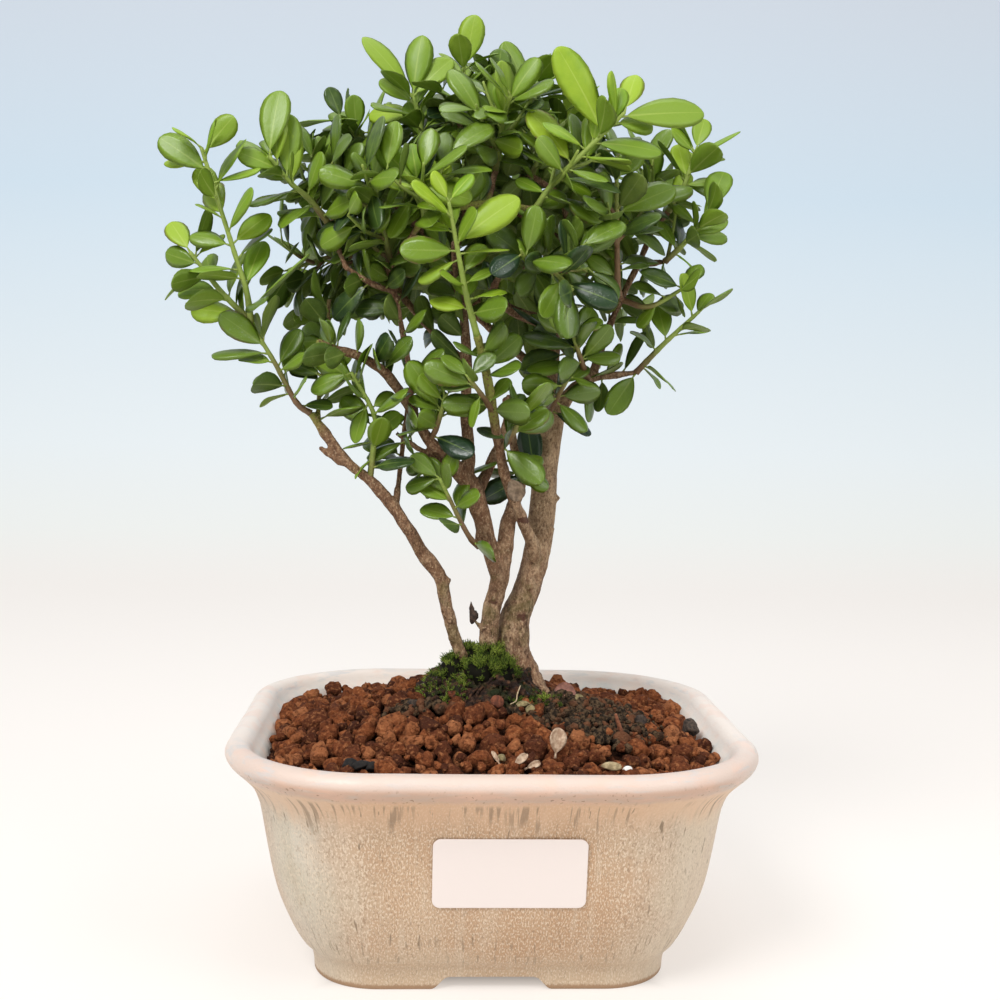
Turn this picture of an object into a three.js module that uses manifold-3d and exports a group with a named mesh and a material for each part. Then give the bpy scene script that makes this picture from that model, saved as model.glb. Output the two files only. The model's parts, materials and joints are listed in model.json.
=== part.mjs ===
// A small Japanese holly grown as a bonsai with several stems, in a glazed pot with rounded corners.
// Units are millimetres, +Z is up and +X is the viewer's right. The plan is drawn round the middle
// of the pot's foot, and the finished group is moved so that its box stands centred on the origin.
import * as THREE from 'three';
import { mergeVertices } from 'three/addons/utils/BufferGeometryUtils.js';
import Module from 'manifold-3d';

const wasm = await Module();
wasm.setup();

// Driving dimensions

const GAP = 0.3; // air between two separate pieces
const EVEN_OUT = 0.16; // bends of the wood smaller than this are drawn straight

const POT = {
  flat: 29, // half the straight run of each side: every ring of the pot is this square, rounded
  arcSteps: 5, // facets round each corner
  outside: [ // half width and height, from the foot up to the rim's crest
    [46, 0], [46.6, 3.6], [47.4, 6], [49.6, 8.4], [52.8, 14], [56.9, 24.5], [60.8, 44.5],
    [62.8, 49.4], [66.6, 53.2], [70, 57.4], [69, 60.4], [66.8, 61.2],
  ],
  inside: [ // from the crest down the inner wall to the floor
    [64.2, 60.4], [62.4, 58], [59.2, 52.5], [51.4, 25], [46.6, 12.5], [40, 9],
  ],
  floor: 9,
};
const FOOT = { archTop: 22, archBottom: 31, archHeight: 3.4, ring: 9 };
const DRAIN = { radius: 7, x: 24, y: 0, meshSide: 22, meshThick: 0.8, meshHole: 7, meshHoles: 2 };
const LABEL = { width: 38, height: 18.7, thick: 0.6, corner: 2, x: 3.4, z: 34.7 };

const SOIL = {
  edge: 55.4, // height along the wall
  rise: 13.6, // how much higher it lies round the stems
  grain: 11, // spacing of the grains
  relief: 3.2, // height of a grain over the valleys round it
  slab: 126, // side of the square that the relief is drawn on
  sunk: 1.2, // how far the valleys lie under the mean height
  jitter: 1.6, // how far a grain may stray from its place in the grid
};
const ROOT_BALL = { x: -2, y: -3, radius: 19.5, buried: 24, shoulder: 64, top: 78, sides: 10 };
const MOSS = { x: -3, y: -6.5, reachX: 8.8, reachY: 9, bumps: 7, size: 5.9, sides: 5, sunk: 1.7, fall: 10 };

const LEAF = { sides: 7, thick: 1.2, slender: 0.68, narrows: 0.012, droop: 0.14, sunk: 0.15 };
const TWIG = { radius: 0.95, sides: 3 };

// The crown that the shoots fill: its middle, and how far the shoots' tips reach from it.
const CROWN = { middle: [-4, 8, 196], reach: [56, 50, 47] };
const FILL = { tries: 60, step: 23, most: 17, spread: 19, rootAt: 0.5, leaves: 7 };
const GOLDEN_ANGLE = 137.508;

const COLOURS = {
  glaze: 0xb9a78f,
  paper: 0xf4f1ec,
  soil: 0x7d4630,
  rootBall: 0x35291f,
  moss: 0x4f7a26,
  bark: 0x8d7763,
  plastic: 0x23282b,
  leaf: 0x2f6b2c,
};

// The wood, from the root crown up: x, y, z and radius of each bend

const STEMS = [
  { sides: 7, bends: [ // root crown and thick right stem
    [4, -3, 44, 2.5], [6, -3, 54, 5.0], [11.5, -1, 62, 6.0], [12, -1, 67, 5.0], [9.6, 0, 73, 4.3],
    [7, 0, 79, 4.5], [6.6, 0, 84, 4.5], [7.5, 1, 90, 4.2], [10, 2, 95.5, 3.7], [12.3, 3, 103, 3.8],
    [14, 4, 114, 3.9], [15, 5, 122, 3.8], [15.4, 6, 133, 3.5], [17.6, 8, 147, 3.1], [16, 10, 157, 2.8],
    [17, 12, 167, 2.5], [15, 14, 173, 2.2], [9, 12, 175, 1.8], [4, 10, 177, 1.5], [-1, 8, 181, 1.3]] },
  { sides: 4, bends: [ // its right fork, into the right half of the crown
    [17, 8, 144, 2.4], [22, 6, 153, 1.9], [27, 4, 157, 1.6], [29, 4, 161, 1.3], [32, 5, 170, 1.1],
    [36, 6, 180, 1.0], [41, 8, 190, 0.9]] },
  { sides: 3, bends: [[27, 4, 157, 1.1], [33, 2, 158, 1.0], [40, 0, 159, 0.9]] },
  { sides: 5, bends: [ // middle stem
    [5, -3, 55, 3.4], [0, -4, 68, 3.2], [-1, -4, 76, 2.8], [0, -4, 89, 2.4], [3, -5, 105, 2.4],
    [4, -4, 114, 2.3], [6, -2, 121, 1.9], [8, 2, 129, 1.6], [6, 6, 139, 1.4], [4, 8, 151, 1.2]] },
  { sides: 5, bends: [ // its left fork, then the long branch to the left
    [2.2, -5, 100, 2.1], [-0.9, -7.5, 110.5, 2.3], [-3.7, -9, 119, 2.5], [-6.4, -10, 127, 2.9],
    [-11, -12, 132, 2.1], [-13.5, -13, 136, 1.8], [-18, -14, 139, 1.6], [-24, -15, 149, 1.5],
    [-30, -17, 157, 1.4], [-36, -18, 161, 1.2], [-42, -19, 163, 1.0], [-48, -20, 165, 0.8]] },
  { sides: 3, bends: [ // upright twigs off the long branch
    [-24, -15, 149, 0.9], [-23, -14, 154, 0.9], [-25, -13, 165, 0.9], [-28, -12, 179, 0.9],
    [-30, -10, 188, 0.8]] },
  { sides: 3, bends: [[-28, -12, 179, 0.8], [-34, -14, 181, 0.8], [-41, -16, 185, 0.7]] },
  { sides: 4, bends: [ // upright branch behind the left fork
    [-8, -11, 127, 2.0], [-7, -10, 134, 1.9], [-8, -7, 146, 1.7], [-8, -4, 161, 1.5], [-9, 0, 174, 1.3],
    [-11, 3, 183, 1.0], [-12, 5, 195, 0.9]] },
  { sides: 3, bends: [
    [-4.6, -9, 125, 1.7], [-2.2, -7, 130, 1.6], [0, -5, 135, 1.4], [3, -3, 142, 1.1], [4, -2, 152, 0.8]] },
  { sides: 3, bends: [ // lower branch to the left
    [-9, -11, 130, 1.3], [-14.5, -11, 133.5, 1.1], [-20.5, -13, 136.6, 0.9], [-27, -14, 141, 0.8]] },
  { sides: 5, bends: [ // long front branch of the thick stem
    [12.6, 0, 106, 2.2], [11, -3, 111, 1.9], [8, -7, 118, 1.6], [4, -12, 126, 1.5], [1, -17, 137, 1.4],
    [-3, -25, 156, 1.3], [-6, -29, 167, 1.1]] },
  { sides: 5, bends: [ // thin left stem with its knee
    [5, -3, 54, 2.4], [-4, -5, 70, 1.9], [-8, -6, 78, 1.6], [-12, -8, 91, 1.7], [-14, -9, 100, 1.8],
    [-16, -9, 104, 2.0], [-20, -10, 109, 1.8], [-27, -12, 120, 1.8], [-34, -13, 128, 1.6],
    [-41, -14, 134, 1.4], [-50, -15, 146, 1.1]] },
  { sides: 3, bends: [
    [-48, -14, 144, 0.8], [-48, -12, 151, 0.8], [-46, -10, 165, 0.7], [-46, -8, 177, 0.7]] },
  { sides: 3, bends: [
    [-27, -12, 120, 0.8], [-26, -8, 130, 0.8], [-25, -4, 141, 0.8], [-23, 2, 159, 0.7]] },
  { sides: 4, bends: [ // branches to the hidden back of the crown
    [16, 5, 127, 2.2], [17, 14, 138, 1.8], [16, 24, 152, 1.5], [18, 32, 168, 1.2], [16, 37, 184, 1.0]] },
  { sides: 3, bends: [[16, 10, 157, 1.6], [6, 20, 166, 1.3], [-6, 30, 178, 1.1], [-12, 34, 190, 0.9]] },
  { sides: 3, bends: [[15, 14, 172, 1.4], [20, 16, 182, 1.2], [22, 18, 196, 1.0], [20, 18, 210, 0.9]] },
  { sides: 3, bends: [
    [-8, -4, 160, 1.2], [-18, 6, 170, 1.1], [-28, 14, 182, 1.0], [-36, 16, 194, 0.8]] },
];
const ROOTS = [ // surface roots that run from the thick stem into the soil
  { sides: 4, bends: [[10, -1, 69, 3.6], [17, -3, 65.5, 2.6], [23, -4, 59, 1.6]] },
  { sides: 4, bends: [[10, -2, 69, 3.4], [11, -9, 65.5, 2.4], [12, -14, 58, 1.4]] },
];
const TAKES_TWIGS_ABOVE = 118; // twigs grow from the wood's bends over this height
const STRAIGHT_TWIG = 20; // a longer twig has a bend at its middle

// Shoots that face the viewer. path: the bends of the green twig, from its root. Each leaf is how far
// along the path it grows (0 to 1), the lean of its tip from upright to the right in degrees, how much
// of its face turns to the viewer in degrees, and its length. joins names the shoot it branches from.

const SHOOTS = [
  { name: 'left_fork', path: [[-50, -15, 146], [-54, -15, 149], [-60, -16, 160], [-67, -16, 171]],
    leaves: [[0.1, 80, 50, 8], [0.25, -105, 10, 9], [0.35, -85, 60, 9], [0.4, 20, 80, 11], [0.5, 25, 60, 12],
      [0.55, -80, 45, 10], [0.7, -50, 70, 13], [0.75, -5, 40, 8]] },
  { name: 'left_high', joins: 'left_fork',
    path: [[-66, -16, 170], [-67, -18, 178], [-70, -20, 188], [-78, -24, 214]],
    leaves: [[0.05, 40, 30, 22], [0.2, 15, 75, 14], [0.3, -75, 35, 13], [0.45, 45, 75, 13], [0.6, -60, 30, 8],
      [0.68, -30, 80, 12], [0.8, 65, 40, 13], [0.92, -80, 60, 12], [0.97, 40, 80, 12], [1, -45, 30, 8]] },
  { name: 'left_low', joins: 'left_fork', path: [[-66, -16, 170], [-74, -16, 178], [-82, -17, 188]],
    leaves: [[0.1, -80, 55, 15], [0.75, -115, 25, 13], [0.92, 40, 40, 10], [1, -35, 80, 11]] },
  { name: 'left_inner', path: [[-34, -13, 128], [-33, -15, 138], [-33, -16, 146], [-39, -18, 157]],
    leaves: [[0.2, -130, 20, 7], [0.35, -95, 20, 10], [0.4, 45, 70, 9], [0.65, 55, 70, 8],
      [0.7, -155, 55, 11], [0.95, 20, 35, 10], [1, -110, 65, 12]] },
  { name: 'left_spike', path: [[-46, -10, 197], [-51, -14, 203], [-56, -17, 207], [-61, -20, 213]],
    leaves: [[0.1, -75, 40, 13], [0.3, 10, 30, 13], [0.5, -95, 20, 13], [0.6, -5, 80, 14], [0.7, 0, 70, 17],
      [0.8, -80, 70, 11], [0.92, -50, 50, 12], [1, 5, 65, 18]] },
  { name: 'upper_left', path: [[-36, -4, 207], [-44, -8, 207], [-50, -14, 213]],
    leaves: [[0.25, 10, 50, 14], [0.35, -35, 60, 16], [0.6, -105, 30, 10], [0.9, 20, 40, 15],
      [1, -20, 55, 12]] },
  { name: 'upper_left_back', path: [[-32, 10, 217], [-38, 8, 223], [-44, 5, 228]],
    leaves: [[0.2, -40, 15, 14], [0.4, 50, 60, 10], [0.65, -5, 80, 10], [0.8, -85, 40, 8], [1, -20, 70, 9]] },
  { name: 'left_front', path: [[-29, -12, 186], [-31, -16, 195], [-34, -20, 207]],
    leaves: [[0.2, -105, 60, 10], [0.35, 70, 60, 8], [0.45, -70, 40, 11], [0.7, 65, 50, 8],
      [0.78, -75, 55, 13], [1, -30, 60, 9], [1, 15, 65, 11]] },
  { name: 'crown_left', path: [[-21, 0, 219], [-22, -2, 227], [-24, -3, 233]],
    leaves: [[0, 55, 50, 16], [0.2, -20, 80, 11], [0.35, 40, 20, 15], [0.6, -75, 65, 15], [0.85, -50, 60, 12],
      [1, -35, 55, 20], [1, 5, 60, 17], [1, 40, 70, 15]] },
  { name: 'crown_front_left', path: [[-20, -24, 198], [-21, -26, 202], [-22, -27, 206]],
    leaves: [[0.3, -105, 50, 8], [0.45, 60, 60, 8], [0.75, -65, 50, 9], [0.95, 50, 50, 9],
      [1, -10, 85, 10]] },
  { name: 'crown_mid', path: [[-10, 0, 220], [-11, -2, 229], [-10, -2, 241]],
    leaves: [[0.3, 60, 60, 9], [0.5, -55, 50, 9], [0.7, 55, 50, 9], [0.9, -45, 45, 11], [1, 55, 30, 10],
      [1, 10, 75, 15]] },
  { name: 'crown_right_mid', path: [[3, 0, 220], [1, -3, 228], [-1, -4, 236]],
    leaves: [[0.2, 25, 60, 9], [0.45, -30, 50, 11], [0.75, -80, 30, 8], [0.95, 45, 50, 11], [1, -40, 40, 11],
      [1, 5, 80, 12]] },
  { name: 'crown_right', path: [[5, 6, 221], [6, 4, 231], [9, 2, 239]],
    leaves: [[0.2, 75, 50, 9], [0.5, -65, 50, 8], [0.7, 75, 20, 13], [0.85, -25, 70, 15], [0.95, 55, 60, 9],
      [1, 25, 25, 10]] },
  { name: 'right_high', path: [[9, -20, 201], [14, -23, 208], [23, -27, 217], [31, -29, 225]],
    leaves: [[0.15, -60, 60, 9], [0.3, 105, 50, 10], [0.45, -35, 70, 18], [0.6, -50, 50, 13],
      [0.68, 90, 60, 18], [0.78, -30, 75, 23], [0.88, 10, 70, 10], [0.96, 80, 75, 24], [1, 15, 75, 12]] },
  { name: 'right_mid', path: [[33, -10, 181], [32, -13, 194], [31, -16, 216]],
    leaves: [[0.1, -55, 70, 10], [0.15, 70, 40, 9], [0.3, -60, 40, 9], [0.4, 65, 45, 14], [0.48, -55, 50, 17],
      [0.58, 60, 70, 18], [0.7, -105, 60, 8], [0.85, -60, 50, 9], [1, 40, 60, 9]] },
  { name: 'right_back', path: [[46, 14, 201], [46, 14, 208], [42, 14, 218]],
    leaves: [[0.4, -60, 50, 9], [0.55, 60, 60, 11], [0.75, 75, 60, 11], [0.85, 20, 55, 15],
      [1, -45, 50, 10]] },
  { name: 'far_right_high', path: [[49, 6, 205], [53, 5, 212], [56, 4, 222]],
    leaves: [[0.1, 75, 30, 9], [0.2, 20, 70, 10], [0.45, 75, 50, 9], [0.55, -10, 80, 11], [0.85, 75, 40, 10],
      [0.95, -45, 60, 9], [1, 15, 75, 10]] },
  { name: 'far_right', path: [[47, -2, 190], [52, -4, 195], [58, -6, 203]],
    leaves: [[0.2, 120, 30, 9], [0.25, -20, 60, 10], [0.45, 105, 15, 10], [0.6, 65, 70, 10],
      [0.75, -40, 50, 9], [1, 20, 70, 15]] },
  { name: 'low_right', path: [[40, 0, 159], [47, -4, 167], [56, -8, 176]],
    leaves: [[0, -145, 85, 13], [0.1, 130, 30, 8], [0.35, -50, 40, 9], [0.5, -10, 80, 11], [0.6, 75, 20, 10],
      [0.9, -15, 55, 12], [0.95, 30, 60, 8], [1, 50, 15, 11]] },
  { name: 'low_right_upper', path: [[35, -4, 179], [42, -8, 177], [51, -10, 182]],
    leaves: [[0.3, 145, 40, 8], [0.6, -135, 50, 9], [0.72, -65, 45, 10], [0.85, 135, 40, 8], [1, -55, 55, 13],
      [1, 30, 50, 9]] },
  { name: 'low_mid_right', path: [[26, -2, 157], [23, -9, 163], [20, -14, 170]],
    leaves: [[0.3, 25, 60, 8], [0.35, -100, 45, 14], [0.45, 80, 50, 11], [0.65, -70, 50, 15],
      [0.85, -35, 70, 14], [0.92, 60, 50, 9], [1, -20, 60, 10]] },
  { name: 'low_mid_left', path: [[15, 2, 146], [17, -6, 151], [21, -10, 159]],
    leaves: [[0.45, 125, 50, 11], [0.55, -55, 50, 9], [0.75, 45, 60, 9], [0.9, 105, 40, 8],
      [1, -20, 50, 9]] },
  { name: 'front_low', path: [[-1, -21, 147], [-4, -27, 151], [-8, -31, 156]],
    leaves: [[0.3, 35, 50, 9], [0.6, -160, 50, 9], [0.75, -80, 50, 9], [1, -45, 60, 9], [1, 30, 60, 9]] },
  { name: 'trunk_front', path: [[1, -17, 137], [4, -22, 141], [6, -23, 146]],
    leaves: [[0.4, -65, 50, 9], [0.6, 50, 60, 11], [0.85, 45, 50, 12], [1, -20, 50, 9]] },
  { name: 'front_high', path: [[-6, -29, 167], [-9, -32, 177], [-11, -34, 186], [-14, -37, 200]],
    leaves: [[0.2, -70, 60, 11], [0.28, 70, 30, 10], [0.4, 60, 50, 9], [0.58, -110, 50, 12],
      [0.62, 75, 30, 13], [0.7, 50, 75, 19], [0.78, -70, 50, 9], [0.92, -65, 50, 9], [1, -25, 60, 8],
      [1, 35, 60, 9]] },
  { name: 'hang_left', path: [[-4, -8, 110], [-6, -12, 112], [-9, -14, 117], [-15, -17, 129]],
    leaves: [[0.5, -75, 55, 11], [0.6, 10, 50, 9], [0.7, -55, 60, 10], [0.92, 15, 60, 9], [1, -100, 60, 10],
      [1, -50, 70, 10]] },
  { name: 'mid_left_low', path: [[-17, -14, 139], [-16, -18, 143], [-14, -23, 151]],
    leaves: [[0.3, -15, 80, 9], [0.35, -90, 15, 10], [0.7, -60, 50, 9], [0.9, -40, 60, 9], [1, 35, 60, 9]] },
  { name: 'trunk_low', path: [[15, 4, 127], [7, -6, 131], [4, -10, 134]],
    leaves: [[0.7, 115, 60, 9], [0.9, 75, 50, 9], [1, -100, 25, 13]] },
];

// Seeded randomness: each call of the function that this returns gives the next number from 0 to 1

function seeded(seed) {
  let state = seed >>> 0;
  return () => {
    state = (state + 0x6d2b79f5) >>> 0;
    let mixed = state;
    mixed = Math.imul(mixed ^ (mixed >>> 15), mixed | 1);
    mixed ^= mixed + Math.imul(mixed ^ (mixed >>> 7), mixed | 61);
    return ((mixed ^ (mixed >>> 14)) >>> 0) / 4294967296;
  };
}

const vector = (a) => new THREE.Vector3(a[0], a[1], a[2]);
const radians = THREE.MathUtils.degToRad;

// Solids

function solid(geometry) {
  const bare = geometry.clone();
  bare.deleteAttribute('normal');
  bare.deleteAttribute('uv');
  const merged = mergeVertices(bare, 1e-4);
  const places = merged.attributes.position;
  let faces = [];
  for (let i = 0; i < merged.index.count; i += 3) {
    const face = [0, 1, 2].map((k) => merged.index.getX(i + k));
    if (new Set(face).size === 3) faces.push(face);
  }
  let volume = 0;
  for (const face of faces) {
    const [a, b, c] = face.map((i) => new THREE.Vector3().fromBufferAttribute(places, i));
    volume += a.dot(b.cross(c));
  }
  if (volume < 0) faces = faces.map(([a, b, c]) => [a, c, b]);
  const mesh = new wasm.Mesh({
    numProp: 3,
    vertProperties: new Float32Array(places.array),
    triVerts: new Uint32Array(faces.flat()),
  });
  return new wasm.Manifold(mesh);
}

function joined(solids) {
  let whole = solids;
  while (whole.length > 1) {
    const next = [];
    for (let i = 0; i < whole.length; i += 2) next.push(whole[i + 1] ? whole[i].add(whole[i + 1]) : whole[i]);
    whole = next;
  }
  return whole[0];
}

function largest(body) {
  return body.decompose().reduce((best, piece) => (piece.volume() > best.volume() ? piece : best));
}

function node(name, body, color, roughness) {
  const { vertProperties, triVerts, numProp } = body.getMesh();
  const places = new Float32Array((vertProperties.length / numProp) * 3);
  for (let i = 0; i < places.length / 3; i += 1) {
    for (let k = 0; k < 3; k += 1) places[3 * i + k] = vertProperties[numProp * i + k];
  }
  const geometry = new THREE.BufferGeometry();
  geometry.setAttribute('position', new THREE.BufferAttribute(places, 3));
  geometry.setIndex(new THREE.BufferAttribute(new Uint32Array(triVerts), 1));
  geometry.computeVertexNormals();
  const mesh = new THREE.Mesh(geometry, new THREE.MeshStandardMaterial({ color, roughness, metalness: 0 }));
  mesh.name = name;
  return mesh;
}

function box(low, high) {
  const size = vector(high).sub(vector(low));
  const centre = vector(low).add(vector(high)).multiplyScalar(0.5);
  return solid(new THREE.BoxGeometry(size.x, size.y, size.z).translate(centre.x, centre.y, centre.z));
}

// A round bar bent along its path, with a radius at each bend. grow thickens and lengthens it.
function bentBar(path, radii, sides, grow = 0) {
  const bends = path.map((p) => p.clone());
  const last = bends.length - 1;
  if (grow > 0) {
    bends[0].add(bends[0].clone().sub(bends[1]).setLength(grow));
    bends[last].add(bends[last].clone().sub(bends[last - 1]).setLength(grow));
  }
  const frames = [];
  let side = new THREE.Vector3(0.31, 0.95, 0.05);
  bends.forEach((bend, i) => {
    const along = bends[Math.min(i + 1, last)].clone().sub(bends[Math.max(i - 1, 0)]).normalize();
    side = side.clone().addScaledVector(along, -side.dot(along)).normalize();
    frames.push({ bend, side, across: new THREE.Vector3().crossVectors(side, along) });
  });
  const bar = new THREE.CylinderGeometry(1, 1, last, sides, last);
  const places = bar.attributes.position;
  for (let i = 0; i < places.count; i += 1) {
    const step = Math.round(places.getY(i) + last / 2);
    const radius = radii[step] + grow;
    const { bend, side: u, across: w } = frames[step];
    const place = bend.clone().addScaledVector(u, places.getX(i) * radius);
    place.addScaledVector(w, places.getZ(i) * radius);
    places.setXYZ(i, place.x, place.y, place.z);
  }
  return solid(bar);
}

// The pot

// A lathed profile whose rings are squares with a straight run of twice POT.flat, rounded at the corners
function roundedSquare(profile) {
  const steps = 4 * (POT.arcSteps + 1);
  const lathe = new THREE.LatheGeometry(profile.map(([r, z]) => new THREE.Vector2(r, z)), steps);
  const places = lathe.attributes.position;
  for (let i = 0; i < places.count; i += 1) {
    const half = Math.hypot(places.getX(i), places.getZ(i));
    const turn = Math.atan2(places.getZ(i), places.getX(i)) + 2 * Math.PI;
    const step = Math.round((turn * steps) / (2 * Math.PI)) % steps;
    const quarter = Math.floor(step / (POT.arcSteps + 1));
    const angle = (Math.PI / 2) * (quarter + (step % (POT.arcSteps + 1)) / POT.arcSteps);
    const corner = Math.min(POT.flat, half * 0.7);
    const middle = (Math.PI / 2) * (quarter + 0.5);
    const x = corner * Math.SQRT2 * Math.cos(middle) + (half - corner) * Math.cos(angle);
    const y = corner * Math.SQRT2 * Math.sin(middle) + (half - corner) * Math.sin(angle);
    places.setXYZ(i, x, y, places.getY(i));
  }
  return lathe;
}

// The shape that fills the pot's inside, a little smaller all round
function potFilling(inset) {
  const wall = POT.inside.map(([half, z]) => [half - inset, z]).reverse();
  wall[0][1] += inset;
  wall[1][1] += inset;
  return solid(roundedSquare([[0, POT.floor + inset], ...wall, [wall.at(-1)[0], 90], [0, 90]]));
}

function pot() {
  const profile = [[0, 0], ...POT.outside, ...POT.inside, [0, POT.floor]];
  const arch = new THREE.Shape();
  arch.moveTo(-FOOT.archBottom / 2, -1);
  arch.lineTo(FOOT.archBottom / 2, -1);
  arch.lineTo(FOOT.archBottom / 2 - 1, FOOT.archHeight * 0.5);
  arch.lineTo(FOOT.archTop / 2, FOOT.archHeight);
  arch.lineTo(-FOOT.archTop / 2, FOOT.archHeight);
  arch.lineTo(-FOOT.archBottom / 2 + 1, FOOT.archHeight * 0.5);
  const length = 2 * POT.outside[0][0] + 10;
  const tunnel = new THREE.ExtrudeGeometry(arch, { depth: length, bevelEnabled: false, steps: 1 });
  tunnel.translate(0, 0, -length / 2).rotateX(Math.PI / 2);
  const inner = POT.outside[0][0] - FOOT.ring;
  let body = solid(roundedSquare(profile));
  body = body.subtract(solid(tunnel)).subtract(solid(tunnel.clone().rotateZ(Math.PI / 2)));
  body = body.subtract(box([-inner, -inner, -1], [inner, inner, FOOT.archHeight]));
  for (const x of [-DRAIN.x, DRAIN.x]) {
    const hole = new THREE.CylinderGeometry(DRAIN.radius, DRAIN.radius, 20, 16).rotateX(Math.PI / 2);
    body = body.subtract(solid(hole.translate(x, DRAIN.y, POT.floor)));
  }
  return body;
}

function drainMesh(x) {
  const half = DRAIN.meshSide / 2;
  const bottom = POT.floor + GAP;
  const top = bottom + DRAIN.meshThick;
  const pitch = DRAIN.meshSide / DRAIN.meshHoles;
  const h = DRAIN.meshHole / 2;
  let plate = box([x - half, DRAIN.y - half, bottom], [x + half, DRAIN.y + half, top]);
  for (let i = 0; i < DRAIN.meshHoles; i += 1) {
    for (let j = 0; j < DRAIN.meshHoles; j += 1) {
      const u = x - half + (i + 0.5) * pitch;
      const v = DRAIN.y - half + (j + 0.5) * pitch;
      plate = plate.subtract(box([u - h, v - h, bottom - 1], [u + h, v + h, top + 1]));
    }
  }
  return plate;
}

// A blank sticker that lies along the front wall
function label() {
  const [[lowHalf, lowZ], [highHalf, highZ]] = POT.outside.slice(5, 7);
  const slope = Math.atan2(highHalf - lowHalf, highZ - lowZ);
  const wall = lowHalf + ((LABEL.z - lowZ) * (highHalf - lowHalf)) / (highZ - lowZ);
  const { width, height, corner } = LABEL;
  const sheet = new THREE.Shape();
  sheet.moveTo(-width / 2 + corner, -height / 2);
  sheet.lineTo(width / 2 - corner, -height / 2);
  sheet.absarc(width / 2 - corner, -height / 2 + corner, corner, -Math.PI / 2, 0, false);
  sheet.absarc(width / 2 - corner, height / 2 - corner, corner, 0, Math.PI / 2, false);
  sheet.absarc(-width / 2 + corner, height / 2 - corner, corner, Math.PI / 2, Math.PI, false);
  sheet.absarc(-width / 2 + corner, -height / 2 + corner, corner, Math.PI, 1.5 * Math.PI, false);
  const settings = { depth: LABEL.thick, bevelEnabled: false, curveSegments: 2 };
  const plate = new THREE.ExtrudeGeometry(sheet, settings);
  plate.translate(0, 0, GAP).rotateX(Math.PI / 2 + slope);
  return solid(plate.translate(LABEL.x, -wall, LABEL.z));
}

// Soil, root ball and moss

// How high the soil lies without its grains
function soilHeight(x, y) {
  const out = Math.min(1, Math.hypot(x - ROOT_BALL.x, y - ROOT_BALL.y) / 60);
  return SOIL.edge + SOIL.rise * (1 - out ** 1.5);
}

// A slab whose top is a field of grains: of every three points of a triangular grid, one stands up
function grainSlab() {
  const random = seeded(5);
  const pitch = SOIL.grain / Math.sqrt(3);
  const rowPitch = (pitch * Math.sqrt(3)) / 2;
  const half = SOIL.slab / 2;
  const columns = Math.floor(SOIL.slab / pitch);
  const rows = Math.floor(SOIL.slab / rowPitch);
  const places = [];
  const at = (row, column, level) => 2 * (row * (columns + 1) + column) + level;
  for (let row = 0; row <= rows; row += 1) {
    for (let column = 0; column <= columns; column += 1) {
      const q = column - Math.floor(row / 2);
      const isGrain = (((q - row) % 3) + 3) % 3 === 0;
      const x = -half + (column + (row % 2) / 2) * pitch + (random() - 0.5) * SOIL.jitter;
      const y = -half + row * rowPitch + (random() - 0.5) * SOIL.jitter;
      const lift = (isGrain ? SOIL.relief * (0.55 + 0.75 * random()) : 0.7 * random()) - SOIL.sunk;
      places.push(x, y, soilHeight(x, y) + lift, x, y, 0);
    }
  }
  const faces = [];
  const cell = (a, b, c) => {
    faces.push(at(...a, 0), at(...b, 0), at(...c, 0));
    faces.push(at(...a, 1), at(...c, 1), at(...b, 1));
  };
  const wall = (a, b) => {
    faces.push(at(...a, 0), at(...a, 1), at(...b, 1));
    faces.push(at(...a, 0), at(...b, 1), at(...b, 0));
  };
  for (let row = 0; row < rows; row += 1) {
    for (let column = 0; column < columns; column += 1) {
      const here = [row, column];
      const right = [row, column + 1];
      const up = [row + 1, column];
      const upRight = [row + 1, column + 1];
      if (row % 2 === 0) {
        cell(here, right, up);
        cell(right, upRight, up);
      } else {
        cell(here, upRight, up);
        cell(here, right, upRight);
      }
    }
    wall([row + 1, 0], [row, 0]);
    wall([row, columns], [row + 1, columns]);
  }
  for (let column = 0; column < columns; column += 1) {
    wall([0, column], [0, column + 1]);
    wall([rows, column + 1], [rows, column]);
  }
  const slab = new THREE.BufferGeometry();
  slab.setAttribute('position', new THREE.Float32BufferAttribute(places, 3));
  slab.setIndex(faces);
  return solid(slab);
}

// Old soil and roots: a plug in the pot with a lumpy dome over it
function rootBall(grow = 0) {
  const { radius, buried, shoulder, top, sides } = ROOT_BALL;
  const profile = [
    [0, buried - grow], [radius * 0.75, buried - grow], [radius, shoulder - 10], [radius * 0.97, shoulder],
    [radius * 0.82, shoulder + 6], [radius * 0.55, shoulder + 11], [0, top + grow],
  ];
  const lathe = new THREE.LatheGeometry(profile.map(([r, z]) => new THREE.Vector2(r, z)), sides);
  const places = lathe.attributes.position;
  for (let i = 0; i < places.count; i += 1) {
    const angle = Math.atan2(places.getZ(i), places.getX(i));
    const z = places.getY(i);
    const out = Math.hypot(places.getX(i), places.getZ(i));
    const lumps = 0.9 * Math.sin(5 * angle + z * 0.7) + 0.6 * Math.sin(9 * angle - z * 0.5);
    const onAxis = out < 0.01;
    const far = onAxis ? 0 : out + grow + (z < shoulder - 20 ? 0 : lumps);
    places.setXYZ(i, ROOT_BALL.x + far * Math.cos(angle), ROOT_BALL.y + far * Math.sin(angle), z);
  }
  return solid(lathe);
}

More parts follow.
